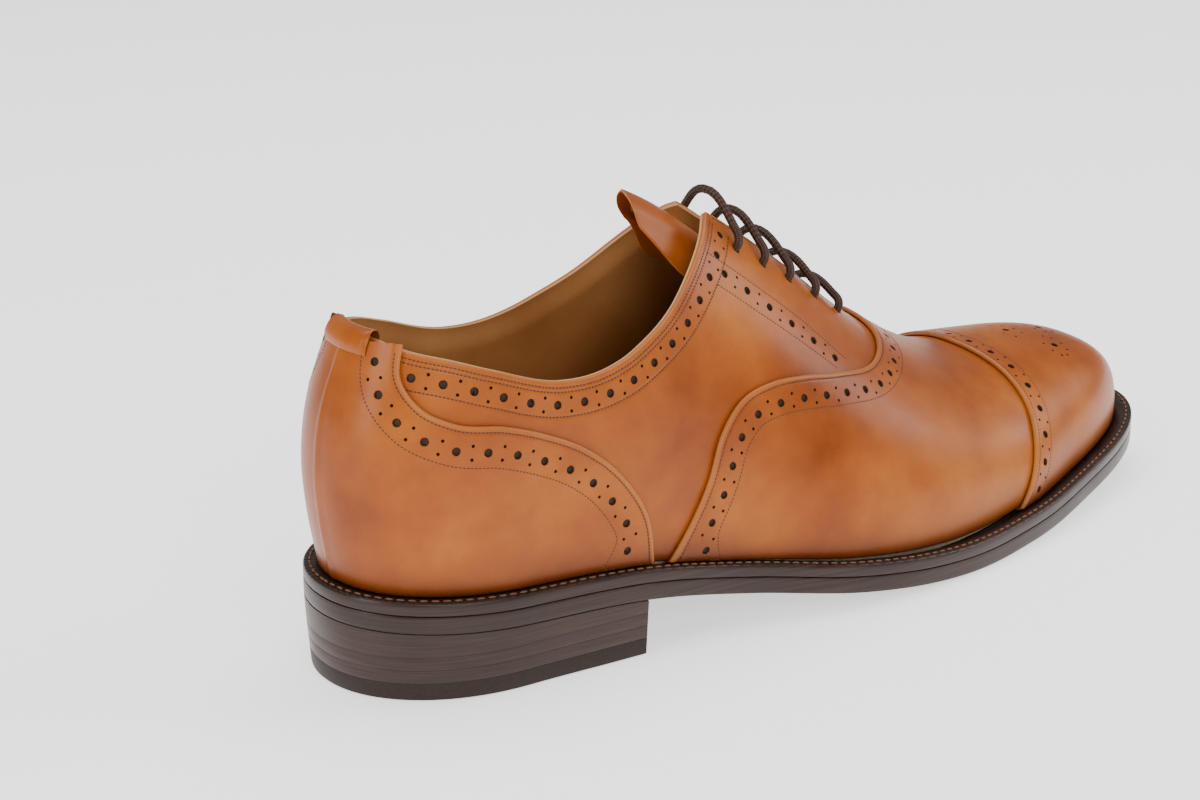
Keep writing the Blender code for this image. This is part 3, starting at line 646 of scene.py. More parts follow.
def makeLiningFinish(name, light, deep, rough=0.62):
    finish = Finish(name)
    cloud = finish.noise(18.0, 4.0)
    colour = finish.ramp(cloud, (0.35, deep), (0.65, light))
    fibre = finish.noise(700.0, 5.0, 0.65, stretch=(1.0, 1.0, 2.2))
    colour = finish.blend(finish.span(fibre, 0.4, 0.7, 0.0, 0.25), colour, deep)
    rim = finish.attribute("rim")
    colour = finish.blend(rim * 0.8, colour, (0.66, 0.42, 0.22))
    normal = finish.bump(fibre, 0.00012, 0.5)
    return finish.shade(Base_Color=colour, Roughness=rough, Normal=normal, Specular_IOR_Level=0.2)


def makeEdgeFinish(name, base, lift, lines):
    # Waxed and burnished sole edge: fine streaks that run along the edge.
    finish = Finish(name)
    streak = finish.noise(lines, 3.0, 0.5, stretch=(0.02, 0.02, 1.0))
    cloud = finish.noise(35.0, 3.0)
    colour = finish.blend(finish.span(streak, 0.35, 0.7), base, lift)
    colour = finish.blend(finish.span(cloud, 0.4, 0.7, 0.0, 0.35), colour, (0.012, 0.005, 0.004))
    rough = finish.span(finish.noise(60.0), 0.3, 0.7, 0.26, 0.40)
    normal = finish.bump(streak, 0.00006, 0.5)
    return finish.shade(Base_Color=colour, Roughness=rough, Normal=normal, Specular_IOR_Level=0.28)


def makePlain(name, light, dark, rough, scale=600.0, depth=0.00008, **more):
    finish = Finish(name)
    grain = finish.noise(scale, 5.0, 0.6)
    colour = finish.blend(finish.span(grain, 0.3, 0.7), dark, light)
    normal = finish.bump(grain, depth, 0.6)
    return finish.shade(Base_Color=colour, Roughness=rough, Normal=normal, **more)


def makeLaceFinish():
    # Round waxed braid: two sets of strands that cross, along the cord's own UV map.
    finish = Finish("waxedLace")
    uv = finish.node("ShaderNodeTexCoord", output="UV")
    split = finish.tree.nodes.new("ShaderNodeSeparateXYZ")
    finish.tree.links.new(uv.socket, split.inputs[0])
    along, around = Wire(finish, split.outputs[0]), Wire(finish, split.outputs[1])
    turns, strands = 2900.0, 25.13
    one = finish.node("ShaderNodeMath", {"operation": "SINE"}, {0: along * turns + around * strands})
    two = finish.node("ShaderNodeMath", {"operation": "SINE"}, {0: along * turns - around * strands})
    braid = one * two
    colour = finish.blend(finish.span(braid, -0.6, 0.8), (0.020, 0.009, 0.006), (0.085, 0.040, 0.026))
    normal = finish.bump(braid, 0.00012, 0.8)
    return finish.shade(Base_Color=colour, Roughness=0.55, Normal=normal, Specular_IOR_Level=0.2)


stage = {"size": 4.0, "drop": 0.0004, "colour": (0.94, 0.94, 0.94, 1.0), "glow": 1.0, "world": 0.36}
white = (1.0, 1.0, 1.0, 1.0)


def makeStage():
    bm = bmesh.new()
    bmesh.ops.create_grid(bm, x_segments=1, y_segments=1, size=stage["size"])
    mesh = toMesh("floor", bm)
    mesh.transform(Matrix.Translation((0, 0, -stage["drop"])))
    floor = addObject("floor", mesh)
    finish = Finish("paleFloor")
    mesh.materials.append(finish.shade(Base_Color=stage["colour"], Roughness=0.6, Emission_Color=white,
                                       Emission_Strength=stage["glow"]))
    world = bpy.data.worlds.new("studio")
    world.use_nodes = True
    background = world.node_tree.nodes["Background"]
    background.inputs["Color"].default_value = white
    background.inputs["Strength"].default_value = stage["world"]
    bpy.context.scene.world = world


lights = {
    "overhead": {"place": (0.1, 0.35, 1.5), "aim": (0, 0, 0.05), "size": (1.6, 0.9), "power": 20.0},
    "cameraSide": {"place": (-0.5, -1.5, 0.9), "aim": (0, 0, 0.05), "size": (1.2, 0.7), "power": 14.0},
    "heelStrip": {"place": (-1.4, -0.15, 0.55), "aim": (-0.1, 0, 0.05), "size": (0.35, 1.0), "power": 9.0},
    "toeSide": {"place": (1.3, -0.6, 0.8), "aim": (0.1, 0, 0.03), "size": (0.6, 0.8), "power": 10.0},
}


def aimAt(obj, place, target):
    obj.location = place
    obj.rotation_euler = (Vector(target) - Vector(place)).to_track_quat("-Z", "Y").to_euler()


def makeLights():
    for name, spec in lights.items():
        data = bpy.data.lights.new(name, "AREA")
        data.shape = "RECTANGLE"
        data.size, data.size_y = spec["size"]
        data.energy = spec["power"]
        aimAt(addObject(name, data), spec["place"], spec["aim"])


def makeCamera():
    azimuth, elevation = math.radians(camera["azimuth"]), math.radians(camera["elevation"])
    back = Vector((math.sin(azimuth) * math.cos(elevation), -math.cos(azimuth) * math.cos(elevation),
                   math.sin(elevation)))
    data = bpy.data.cameras.new("camera")
    data.lens = camera["lens"]
    data.sensor_width = 36.0
    data.clip_start = 0.02
    obj = addObject("camera", data)
    aimAt(obj, Vector(camera["target"]) + back * camera["distance"], camera["target"])
    bpy.context.scene.camera = obj


lace = {
    "radius": 1.25, "inside": -7.4, "bar": 1.1, "arch": 0.3, "spread": (0.012, 0.06),
    "through": (-5.9, -2.5, 0.2), "tailStart": 2.0, "tailStep": 12.9, "tailSteps": 9, "tailDrift": 1.8,
    "tailWave": 5.0, "tailY": (-28, 22), "length": 0.709,
    "spots": ((0.05, 0.29, -7.4), (0.15, 0.36, -7.8), (0.35, 0.45, -8.0), (0.6, 0.56, -8.0),
              (0.85, 0.68, -8.0), (1.0, 0.80, -8.8)),
    # Each bar: its eyelet, the side it comes up on, the eyelet reached next and how far the run inside bows.
    "bars": ((3, -1, 1, -0.042), (1, 1, 0, 0.0), (0, -1, 2, 0.042), (2, 1, 4, -0.042), (4, -1, None, 0.0)),
}


def lastSpot(x, b, offset):
    return Vector(onLast(float(shareOf(x)), b, offset))


def laceThrough(side, k, inward):
    b = eyelets["b"][k]
    girths = (b, b, b - lace["spread"][0], b - lace["spread"][1])
    points = [lastSpot(eyelets["x"][k], side * girth, offset)
              for girth, offset in zip(girths, (*lace["through"], lace["bar"]))]
    return points[::-1] if inward else points


def laceRun(side, start, end, sideways):
    points = []
    for share in (0.12, 0.5, 0.88):
        x = eyelets["x"][start] + (eyelets["x"][end] - eyelets["x"][start]) * share
        b = float(smooth(eyelets["x"][::-1], eyelets["b"][::-1], x))
        b += sideways * (1 - abs(2 * share - 1) ** 2)
        points.append(lastSpot(x, side * b, lace["inside"]))
    return points


def laceTail(side, k, middle):
    points = []
    for share, b, offset in lace["spots"]:
        x = eyelets["x"][k] + (lace["tailStart"] - eyelets["x"][k]) * share
        points.append(lastSpot(x, side * b, offset))
    for step in range(lace["tailSteps"]):
        x = lace["tailStart"] - 4 - lace["tailStep"] * step
        y = middle + side * (lace["tailWave"] * (math.cos(0.8 * step) - 0.4) - lace["tailDrift"] * step)
        z = float(soleHeight(x)) + sole["sockTop"] + 0.6 + lace["radius"]
        points.append(Vector((x + frameShift[0], y + frameShift[1], z)) * millimetre)
    return points


def makeLace(finish):
    # One end laces bars 1, 3 and 5 and the other bars 2 and 4; every length between eyelets lies inside.
    route = laceTail(-1, 3, lace["tailY"][0])[::-1]
    for k, side, following, sideways in lace["bars"]:
        route += laceThrough(side, k, False)
        route.append(lastSpot(eyelets["x"][k], 0.0, lace["bar"] + lace["arch"]))
        route += laceThrough(-side, k, True)
        if following is not None:
            route += laceRun(-side, k, following, sideways)
    route += laceTail(1, 4, lace["tailY"][1])
    curve = bpy.data.curves.new("laceCord", "CURVE")
    curve.dimensions = "3D"
    curve.bevel_depth = lace["radius"] * millimetre
    curve.bevel_resolution = 4
    curve.use_fill_caps = True
    curve.resolution_u = 6
    spline = curve.splines.new("BEZIER")
    spline.bezier_points.add(len(route) - 1)
    for point, place in zip(spline.bezier_points, route):
        point.co = place
        point.handle_left_type = point.handle_right_type = "AUTO"
    curve.materials.append(finish)
    piece = addObject("laceCord", curve)
    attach(piece, "rear")
    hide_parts("lace")


makeCamera()
makeLights()
makeStage()
tanCalf = makeLeather()
punched = makeHoleFinish()
liningFinish = makeLiningFinish("liningLeather", (0.43, 0.20, 0.065), (0.29, 0.11, 0.028))
thread = makePlain("thread", (0.075, 0.022, 0.007), (0.028, 0.008, 0.003), 0.6, scale=2500.0)
makeLace(makeLaceFinish())
print("camera, lights, stage and lace are in place")


def rowOf(ladder, depth, offset, trim):
    # A path along a band at one depth, as (place, normal, run), cut short by trim mm at each end.
    place, normal, run = alongRow(*atDepth(ladder, depth), offset)
    keep = (run >= trim) & (run <= run[-1] - trim)
    return place[keep], normal[keep], run[keep] - run[keep][0]


bands = {
    "vamp": {"base": 0.0, "reach": 11.4, "walk": 12.6, "field": 44, "stitches": (1.6, 9.6), "trim": 1.5,
             "holes": 6.3, "pitch": 8.3, "margins": (7, 7), "pins": (-65, -30, 80), "ratio": 1.2,
             "ramp": 16.0},
    "cap": {"base": 1.5, "reach": 8.4, "walk": 9.6, "field": 80, "stitches": (1.5, 7.6), "trim": 1.0,
            "holes": 4.8, "pitch": 8.6, "margins": (6, 6), "pins": (65, 92, 60), "ratio": 1.05, "ramp": 10.0},
    "counter": {"base": 0.0, "reach": 12.0, "walk": 13.2, "field": 60, "stitches": (1.6, 10.8), "trim": 1.0,
                "holes": 6.8, "pitch": 8.3, "margins": (8, 5), "pins": (-70, -100, 60), "ratio": 1.1,
                "ramp": 16.0, "backSeam": (0.9, 0.35)},
    "collar": {"base": -1.5, "walk": 10.8, "stitches": (1.7, 2.9, 9.4), "trim": 1.5, "holes": 6.2,
               "pitch": 8.3, "margins": (22, 5)},
}
sewn = {"rear": [], "flex": []}
stitchSink = 0.02


def sewRows(key, ladder, depths, base, trim):
    for depth in depths:
        sewn[key].append(stitchesAlong(*rowOf(ladder, depth, base - stitchSink, trim)))


def bandPiece(name, spec, edge, turn, ends, field, node, body=None, extra=()):
    # A leather piece with a punched and sewn band along its edge and a plain field beyond it.
    a, b, distances = edgeOf(edge)
    start, stop, count = spec["pins"]
    ahead = np.linspace(shareOf(start), shareOf(stop), count)
    lines = [None if end is None else pathLine(ahead, end, spec["ratio"]) for end in ends]
    ladder = pinEnds(march(a, b, turn, spec["walk"]), distances, lines, spec["ramp"])
    sheet = Sheet()
    bandRows(sheet, ladder, spec["base"], spec["stitches"][0], spec["reach"])
    near = atDepth(ladder, spec["reach"])
    far = field(distances / distances[-1], near[1])
    for share in np.linspace(0, 1, spec["field"] + 1)[1:]:
        sheet.add(near[0] + (far[0] - near[0]) * share, near[1] + (far[1] - near[1]) * share, spec["base"])
    sheet.done()
    if "backSeam" in spec:
        width, height = spec["backSeam"]
        seam = np.exp(-(sheet.points[..., 1] / (width * millimetre)) ** 2) * height * millimetre
        sheet.points = sheet.points + sheet.normals * seam[..., None]
    tuckUnder(sheet, *[(1, column) for column, end in zip((0, -1), ends) if end is not None])
    bm = gridMesh(sheet.points, sheet.normals, sheet.rim)
    punch(bm, bandHoles(ladder, spec) + list(extra))
    sewRows("rear" if body else "flex", ladder, spec["stitches"], spec["base"], spec["trim"])
    finishPiece(name, bm, (tanCalf, punched), body, [node])


def makeVamp():
    def underCap(share, girth):
        x, b = curveThrough(bothSides(capSeam), share)
        return shareOf(x + 9), b

    bandPiece("vampLeather", bands["vamp"], bothSides(vampEdge), -1, (-1.0, 1.0), underCap, "vamp")


medallion = {"petals": ((104.5, 0.0), (118.5, 0.0), (111.5, 0.27), (111.5, -0.27)), "rings": 9,
             "reach": (3.6, 0.115)}


def medallionHoles(base):
    # A rosette on the toe: four large holes and the small ones round each of them.
    holes = []
    for x, b in medallion["petals"]:
        holes.append(holeAt(float(shareOf(x)), b, base, punchWork["big"]))
        for k in range(medallion["rings"]):
            turn = 2 * math.pi * k / medallion["rings"]
            ringA = float(shareOf(x + medallion["reach"][0] * math.cos(turn)))
            holes.append(holeAt(ringA, b + medallion["reach"][1] * math.sin(turn), base, punchWork["small"]))
    return holes


def makeCap():
    def toToe(share, girth):
        return np.full_like(share, 1.0), girth

    bandPiece("toeCapLeather", bands["cap"], bothSides(capSeam), -1, (-1.0, 1.0), toToe, "toe_cap",
              extra=medallionHoles(bands["cap"]["base"]))


def makeCounter(side, word):
    def toBack(share, girth):
        return np.zeros_like(share), side * (1 + (topline[0][1] - 1.0) * share)

    bandPiece("counter" + word, bands["counter"], onSide(counterEdge, side), -side, (float(side), None),
              toBack, "heel_counter_cover", "rear")


quarter = {
    "lap": 9.0, "narrow": 0.6, "backGap": 0.003, "columns": (250, 0.012), "rows": (150, 0.02),
    "thickness": 0.9, "frontDrop": 1.65, "roll": 0.75, "rim": 0.5, "groove": (0.11, 0.32),
    "frontStitch": 2.0, "frontEnd": -36, "facingEnd": 30.5,
}


def byLength(x, b, shares):
    # Points at shares of the length of a path over the last.
    run = runAlong(lastPoint(shareOf(x), b))
    at = np.asarray(shares) * run[-1]
    return np.interp(at, run, x), np.interp(at, run, b)


def quarterGrid(us, ws):
    # Columns run from the topline down to the feather line and on along the hidden lap under the vamp.
    t = np.linspace(0, 1, rowSteps["samples"])
    topX, topB = byLength(*curveThrough(topline, t), us)
    frontX, frontB = curveThrough(vampEdge[:-1], t)
    frontX = frontX + quarter["lap"] * (1 - quarter["narrow"] * t)
    lowX = last["heelX"] + (frontX[0] - last["heelX"]) * t ** 2
    farX = np.concatenate((lowX, frontX, facing["x"][1:]))
    farB = np.concatenate((np.ones_like(t), frontB, facing["b"][1:]))
    endX, endB = byLength(farX, farB, us)
    w = np.asarray(ws)[:, None]
    x, b = endX + (topX - endX) * w, endB + (topB - endB) * w
    return np.maximum(shareOf(x), quarter["backGap"]), b


def distanceTo(points, path):
    # Distance in mm from every point of a grid to a path on the last.
    flat = points.reshape(-1, 3)
    nearest = np.full(len(flat), 1e9)
    for k in range(0, len(path), 64):
        gaps = np.linalg.norm(flat[:, None] - path[None, k:k + 64], axis=2).min(axis=1)
        nearest = np.minimum(nearest, gaps)
    return nearest.reshape(points.shape[:-1])


def crowd(count, first):
    # Shares 0 to 1 that are even until close to 1, where they crowd for the rolled edge.
    even = np.linspace(0, 1, count)[:-1] * (1 - first)
    return np.concatenate((even, 1 - first * np.array((0.8, 0.6, 0.45, 0.3, 0.18, 0.08, 0.0))))


def rolled(distance, base):
    # Offset over a rolled edge, round within its radius.
    inside = np.clip(distance / quarter["roll"], 0, 1)
    return base - quarter["roll"] * (1 - np.sqrt(np.clip(1 - (1 - inside) ** 2, 0, 1)))


def groove(distance, middle):
    depth, width = quarter["groove"]
    return depth * np.exp(-((distance - middle) / width) ** 2)


facingBand = {"upper": ((-37, 0.300), (-21.9, 0.335), (-9.5, 0.368), (6.4, 0.440)),
              "holes": ((-33.5, 0.340), (-22.5, 0.372), (-11, 0.405), (1.5, 0.452)),
              "lower": ((-37, 0.378), (-25.2, 0.408), (-12.9, 0.438), (0.5, 0.482))}


def sideQuarter(side, word):
    spec = bands["collar"]
    base = spec["base"]
    a, b = quarterGrid(crowd(*quarter["columns"]), crowd(*quarter["rows"]))
    a, b = a[::-1], b[::-1] * side
    place = lastPoint(a, b)
    toTop, toFront = distanceTo(place, place[0]), distanceTo(place, place[:, -1])
    nearest = np.minimum(toTop, toFront)
    offset = rolled(nearest, base) - sum(groove(toTop, middle) for middle in spec["stitches"])
    offset -= groove(toFront, quarter["frontStitch"]) * (a > shareOf(quarter["frontEnd"]))
    sheet = Sheet()
    # The rim value lightens the rolled edge: partly wear, partly a painted highlight.
    sheet.place(a, b, offset, np.exp(-(nearest / quarter["rim"]) ** 2))
    # Both edges turn in once more to close the leather's thickness.
    sheet.extend(0, 0, [onLast(a[0], b[0], offset[0] - quarter["thickness"])])
    front = (np.concatenate((grid[:1, -1], grid[:, -1])) for grid in (a, b))
    sheet.extend(1, -1, [onLast(*front, base - quarter["frontDrop"])])
    tuckUnder(sheet, (0, -1))
    bm = gridMesh(sheet.points, sheet.normals, sheet.rim)
    collar = march(*edgeOf(onSide(topline, side))[:2], side, spec["walk"])
    x = np.linspace(topline[-1][0], quarter["facingEnd"], 160)
    front = march(shareOf(x), side * smooth(facing["x"], facing["b"], x), side, 10.0)
    holes = bandHoles(collar, spec) + seamHoles(onSide(facingBand["holes"], side), base, side)
    holes += [holeAt(float(shareOf(x)), side * b, base, punchWork["eyelet"])
              for x, b in zip(eyelets["x"], eyelets["b"])]
    punch(bm, holes[::-1])
    sewRows("rear", collar, spec["stitches"], base, spec["trim"])
    sewRows("rear", front, [quarter["frontStitch"]], base, spec["trim"])
    for line in ("upper", "lower"):
        a, b, _ = edgeOf(onSide(facingBand[line], side))
        sewn["rear"].append(stitchesAlong(*alongRow(a, b, base)))
    finishPiece("quarter" + word, bm, (tanCalf, punched), "rear", ["quarter_" + word.lower()])


sides = ((-1, "Lateral"), (1, "Medial"))
makeVamp()
makeCap()
for side, word in sides:
    makeCounter(side, word)
for side, word in sides:
    sideQuarter(side, word)
print("vamp, cap, counter and quarters are made")


def slabRing(count):
    # The sole's outline: (side, share) from the heel round the lateral side to the toe and back.
    turn = np.linspace(0, 2 * np.pi, count, endpoint=False)
    return np.where(turn < np.pi, -1.0, 1.0), np.where(turn < np.pi, turn / np.pi, 2 - turn / np.pi)


def edgePlan(side, a, margin):
    # Plan points on the feather line, moved outwards by the margin.
    step = np.minimum(0.004, np.minimum(np.maximum(a, 1e-4), np.maximum(1 - a, 1e-4)))
    here = lastPoint(a, side)[..., :2]
    run = lastPoint(a + step, side)[..., :2] - lastPoint(a - step, side)[..., :2]
    outward = unit(np.stack((-run[..., 1], run[..., 0]), axis=-1) * np.asarray(side)[..., None])
    tip = (a < 1e-3) | (a > 1 - 1e-3)
    straight = np.stack((np.where(a < 0.5, -1.0, 1.0), np.zeros_like(a)), axis=-1)
    outward = np.where(tip[..., None], straight, outward)
    return here + outward * np.asarray(margin)[..., None]


def edgeMargin(a):
    return smooth(sole["edgeX"], sole["edgeMargin"], stationOf(a))


def onSole(plan, rise):
    # From a plan point and a height above the sole's underside to metres in the shoe's frame.
    z = soleHeight(plan[..., 0]) + rise
    return (np.stack((plan[..., 0], plan[..., 1], z), axis=-1) + frameShift) * millimetre


def ringMesh(rings):
    # A skin over closed rings of equal length.
    points = np.array(rings)
    bm, _ = gridOf(np.concatenate((points, points[:, :1]), axis=1))
    bmesh.ops.remove_doubles(bm, verts=bm.verts[:], dist=1e-6)
    bmesh.ops.recalc_face_normals(bm, faces=bm.faces[:])
    return bm


def acrossRings(side, a, margin, rise, steps):
    # Rings that shrink from the outline onto a line along the sole's middle.
    outline = edgePlan(side, a, margin)
    middle = (outline + edgePlan(-side, a, margin)) / 2
    return [onSole(outline + (middle - outline) * s, rise) for s in steps]


def makeOutsole():
    side, a = slabRing(420)
    margin = edgeMargin(a)
    under = acrossRings(side, a, margin - 0.6, 0.0, (1.0, 0.75, 0.5, 0.25, 0.06))
    profile = ((-0.6, 0.0), (-0.15, 0.12), (0.0, 0.5), (0.05, 1.6), (0.05, 3.4), (0.0, 4.5), (-0.12, 4.85),
               (-0.4, 5.0))
    wall = [onSole(edgePlan(side, a, margin + m), r) for m, r in profile]
    over = acrossRings(side, a, margin - 0.5, 5.0, (0.0, 0.12, 0.5, 1.0))
    bm = ringMesh(under + wall + over)
    finishPiece("outsoleLeather", bm, (edgeFinish,), None,
                ["outsole_fore", "outsole_rear"])


welt = {"columns": 900, "wheel": 0.10, "wheelColumns": 4, "wheelBand": (-2.9, -0.5), "stitchMargin": -1.9,
        "stitchRise": 8.82, "pitch": 3.0, "length": 2.3, "width": 0.85, "height": 0.7, "sink": 0.0}


def makeWelt():
    # One strip all the way round, its upper face wheeled between the stitches.
    side, a = slabRing(welt["columns"])
    margin = edgeMargin(a)
    wheel = welt["wheel"] * np.cos(2 * np.pi * np.arange(welt["columns"]) / welt["wheelColumns"])
    inner, outer = welt["wheelBand"]
    profile = ((-3.3, 5.05), (-0.4, 5.05), (-0.1, 5.25), (0.0, 5.6), (0.0, 7.2), (-0.05, 8.2), (-0.3, 8.62),
               (-0.75, 8.8), (-1.4, 8.78), (-2.0, 8.70), (-2.6, 8.78), (-3.4, 8.7), (-5.2, 8.3), (-6.2, 7.6))
    rings = []
    for m, r in profile:
        dent = wheel if inner < m < outer and r > 8 else 0.0
        rings.append(onSole(edgePlan(side, a, margin + m), r + dent))
    bm = ringMesh(rings + rings[:1])
    finishPiece("weltStrip", bm, (edgeFinish,), None,
                ["welt_fore", "welt_waist_lateral", "welt_waist_medial", "heel_rand"])
    path = onSole(edgePlan(side, a, margin + welt["stitchMargin"]), welt["stitchRise"])
    up = np.tile(np.array((0.0, 0.0, 1.0)), (len(path), 1))
    row = stitchesAlong(path, up, runAlong(path) / millimetre, 0.5, welt["pitch"])
    sewStitches("weltStitches", [row], weltThread, shape=welt)


heel = {"columns": 160, "breastColumns": 42, "proud": 0.05, "profile": (
    (-0.9, 0.0), (-0.06, 0.0), (0.0, 0.04), (0.0, 0.96), (-0.06, 1.0), (-0.9, 1.0))}


def shrunk(ring, share):
    # A ring drawn in towards its centre, at its own heights.
    flat = ring + (ring.mean(axis=0) - ring) * share
    flat[:, 2] = ring[:, 2]
    return flat


def makeHeelLayer(name, low, high, finish, node):
    # A layer with softened edges; without an upper height it ends under the sloping sole.
    t = np.linspace(0, 1, heel["columns"])
    side = np.where(t < 0.5, -1.0, 1.0)
    a = float(shareOf(sole["breastX"])) * np.abs(2 * t - 1)
    bow = sole["breastHollow"] * (1 - np.linspace(-1, 1, heel["breastColumns"])[1:-1] ** 2)
    rings = []
    for inset, share in heel["profile"]:
        if high:
            level = low + (high - low) * share
            taper = sole["heelTaper"] * (1 - min(1.0, level / sole["heelSeat"]))
        else:
            taper = sole["heelTaper"] * (1 - low / sole["heelSeat"]) * (1 - share)
        plan = edgePlan(side, a, edgeMargin(a) + heel["proud"] - taper + inset)
        breast = np.linspace(plan[-1], plan[0], heel["breastColumns"])[1:-1]
        breast = breast - np.stack((bow - inset * 0.5, np.zeros_like(bow)), axis=-1)
        plan = np.concatenate((plan, breast))
        if not high:
            level = low + (soleHeight(plan[:, 0]) - heel["proud"] - low) * share
        height = np.broadcast_to(level, len(plan))
        rings.append((np.column_stack((plan, height)) + frameShift) * millimetre)
    rings = [shrunk(rings[0], s) for s in (0.98, 0.5)] + rings + [shrunk(rings[-1], s) for s in (0.5, 0.98)]
    bm = ringMesh(rings)
    bmesh.ops.holes_fill(bm, edges=[e for e in bm.edges if e.is_boundary], sides=0)
    bmesh.ops.recalc_face_normals(bm, faces=bm.faces[:])
    finishPiece(name, bm, (finish,), "rear", [node])


edgeFinish = makeEdgeFinish("burnishedEdge", (0.020, 0.009, 0.006), (0.040, 0.020, 0.014), 1400.0)
heelFinish = makeEdgeFinish("heelStack", (0.026, 0.012, 0.008), (0.050, 0.024, 0.017), 2600.0)
weltThread = makePlain("weltThread", (0.20, 0.095, 0.042), (0.09, 0.038, 0.016), 0.6, scale=3000.0)
rubberFinish = makePlain("topRubber", (0.022, 0.010, 0.007), (0.012, 0.005, 0.003), 0.5, scale=1500.0,
                         Specular_IOR_Level=0.25)
makeOutsole()
makeWelt()
makeHeelLayer("topPieceRubber", 0.0, 4.9, rubberFinish, "top_piece")
for k, (low, high) in enumerate(((4.95, 8.78), (8.82, 12.55), (12.59, None)), 1):
    makeHeelLayer(f"heelLift{k}", low, high, heelFinish, f"heel_lift_{k}")
print("sole, welt and heel are made")


rimBulge = 0.3


def patchPiece(name, a, b, outer, inner, materials, body, slot, node, soften=0.0):
    # A closed leather sheet: its outer grid, its inner grid and a rounded rim between them.
    outer, inner = (np.broadcast_to(offset, a.shape)[..., None] for offset in (outer, inner))
    lift = normals = lastNormal(a, b)
    if soften:
        share = np.clip(np.abs(b) / soften, 0, 1)
        share = (share * share * (3 - 2 * share))[..., None]
        lift = unit(lastNormal(a, np.zeros_like(b)) * (1 - share) + normals * share)
    top, low, rim = ((lastPoint(a, b) + lift * offset + frameShift) * millimetre
                     for offset in (outer, inner, (outer + inner) / 2))
    # The rim stands out a little in the middle of the thickness.
    reach = float(np.mean(outer - inner)) * rimBulge * millimetre
    for axis in (0, 1):
        for edge, beside in ((0, 1), (-1, -2)):
            np.moveaxis(rim, axis, 0)[edge] += unit(top.take(edge, axis) - top.take(beside, axis)) * reach
    around = ((1, 1), (1, 1), (0, 0))
    normals = np.pad(normals, around, mode="edge")
    wear = np.pad(burnish(top), 1, mode="edge") * 0.6
    halves = []
    for points, facingWay in ((top, 1), (low, -1)):
        wrapped = np.pad(rim, around, mode="edge")
        wrapped[1:-1, 1:-1] = points
        edgeValue = np.pad(np.zeros(a.shape), 1, constant_values=1.0)
        halves.append(gridMesh(wrapped, normals * facingWay, edgeValue, wear))
    bm, under = halves
    mesh = toMesh("under", under)
    bm.from_mesh(mesh)
    bpy.data.meshes.remove(mesh)
    finishPiece(name, bm, materials, body, [node])


def settle(distance, deep, high, reach=7.0):
    # A lining's offset: deep inside the shoe, close under the leather at its edge.
    t = np.clip(distance / reach, 0, 1)
    return high + (deep - high) * (t * t * (3 - 2 * t))


linings = {"under": -2.75, "deep": -4.5, "thickness": 0.85, "vamp": (-3.2, -3.9)}


def makeQuarterLining(side, word):
    a, b = quarterGrid(crowd(150, 0.01), crowd(80, 0.02))
    a, b = a[::-1], b[::-1] * side
    place = lastPoint(a, b)
    nearest = np.minimum(distanceTo(place, place[0]), distanceTo(place, place[:, -1]))
    outer = settle(nearest, linings["deep"], linings["under"])
    patchPiece("quarterLining" + word, a, b, outer, outer - linings["thickness"], (liningFinish,), "rear",
               "lining_leather", "quarter_lining_" + word.lower())


def makeVampLining():
    t, b = np.meshgrid(np.linspace(0, 1, 90), np.linspace(-1, 1, 140))
    start = shareOf(46 - 92 * np.abs(b) ** 1.6)
    patchPiece("vampLiningLeather", start + (0.995 - start) * t, b, *linings["vamp"], (liningFinish,), None,
               "lining_leather", "vamp_lining")


def tongueGrid(reach, width, columns, rows):
    u, w = np.meshgrid(np.linspace(0, 1, columns), np.linspace(0, 1, rows))
    x = reach[0] + (reach[1] - reach[0]) * u
    corner = 1 - 0.45 * np.clip((u - 0.86) / 0.14, 0, None) ** 2
    return shareOf(x), (2 * w - 1) * (width[0] + (width[1] - width[0]) * u) * corner


tongue = {
    "outer": {"reach": (44, -48), "width": (0.15, 0.37), "grid": (130, 60), "layer": (-10.1, -10.95)},
    "lining": {"reach": (10, -42), "width": (0.18, 0.29), "grid": (80, 44), "layer": (-11.2, -11.8)},
    "soften": 0.30,
}


def makeTongue(name, spec, materials, slot, node):
    a, b = tongueGrid(spec["reach"], spec["width"], *spec["grid"])
    patchPiece(name, a, b, *spec["layer"], materials, "tongue", slot, node, tongue["soften"])


def makeSock():
    side, a = slabRing(300)
    rings = []
    for rise, steps in ((11.5, (1.0, 0.5, 0.02)), (sole["sockTop"], (0.0, 0.5, 1.0))):
        rings += acrossRings(side, a, -6.4, rise, steps)
    bm = ringMesh(rings)
    finishPiece("sockLining", bm, (liningFinish,), None, ["sock_fore", "sock_rear"])


backTab = {
    "width": 0.050, "columns": 46, "taper": 0.12, "low": 0.35,
    "profile": ((0.036, -1.4), (0.034, 0.5), (0.028, 1.2), (0.019, 1.5), (0.008, 1.4), (-0.004, 0.8),
                (-0.011, -0.5), (-0.012, -2.2), (-0.004, -3.6), (0.010, -4.2)),
}


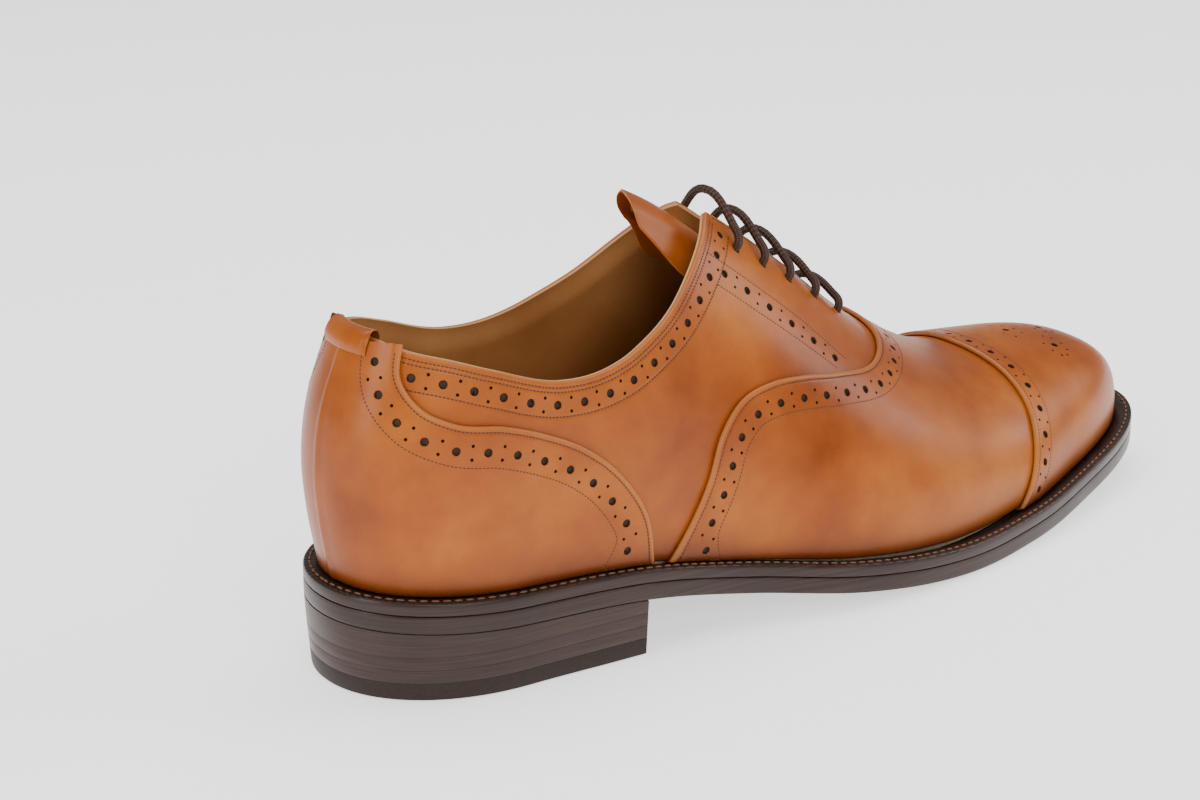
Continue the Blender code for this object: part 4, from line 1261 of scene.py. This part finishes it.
def makeBackTab():
    # A thick rolled strap of leather over the top of the back seam.
    turn = np.linspace(-1, 1, backTab["columns"])
    share = backTab["width"] * np.abs(turn)
    side = np.where(turn < 0, -1.0, 1.0)
    ease = backTab["low"] + (1 - backTab["low"]) * np.clip((1 - np.abs(turn)) / backTab["taper"], 0, 1)
    points = np.array([onLast(share, side * (topline[0][1] + girth), offset * ease if offset > 0 else offset)
                       for girth, offset in backTab["profile"]])
    normals = np.tile(lastNormal(share, side * topline[0][1]), (len(points), 1, 1))
    bm = gridMesh(points, normals, np.zeros(points.shape[:2]))
    bmesh.ops.recalc_face_normals(bm, faces=bm.faces[:])
    finishPiece("backTab", bm, (tanCalf,), "rear", ["back_tab"])


for side, word in sides:
    makeQuarterLining(side, word)
makeVampLining()
makeTongue("tongueLeather", tongue["outer"], (tanCalf, punched), "tan_calf", "tongue")
makeTongue("tongueLining", tongue["lining"], (liningFinish,), "lining_leather", "tongue_lining")
makeSock()
makeBackTab()
sewStitches("upperStitches", sewn["rear"], thread, body="rear")
sewStitches("foreStitches", sewn["flex"], thread)
print("linings, tongue and stitches are made")

plain = {
    "insole": makePlain("soleLeather", (0.46, 0.28, 0.14), (0.34, 0.19, 0.09), 0.65),
    "cork": makePlain("corkFiller", (0.36, 0.22, 0.11), (0.20, 0.11, 0.05), 0.85, scale=300.0),
    "board": makePlain("stiffenerBoard", (0.62, 0.52, 0.38), (0.48, 0.38, 0.26), 0.75),
    "steel": makePlain("shankSteel", (0.58, 0.58, 0.60), (0.42, 0.42, 0.44), 0.35, Metallic=1.0),
    "brass": makePlain("eyeletBrass", (0.72, 0.52, 0.22), (0.50, 0.34, 0.12), 0.35, Metallic=1.0),
    "aglet": makePlain("agletPlastic", (0.10, 0.055, 0.032), (0.06, 0.030, 0.018), 0.25),
}
carried = (("insole_rib", "board"), ("insole", "insole"), ("cork", "cork"), ("shank", "steel"),
           ("heel_nail", "steel"), ("eyelet", "brass"), ("facing_stay", "board"), ("toe_puff", "board"),
           ("counter_stiffener", "board"), ("aglet", "aglet"))
for name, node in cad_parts.items():
    for word, key in carried:
        if name.startswith(word):
            node.data.materials.clear()
            node.data.materials.append(plain[key])
            break
print("inner parts have their materials")
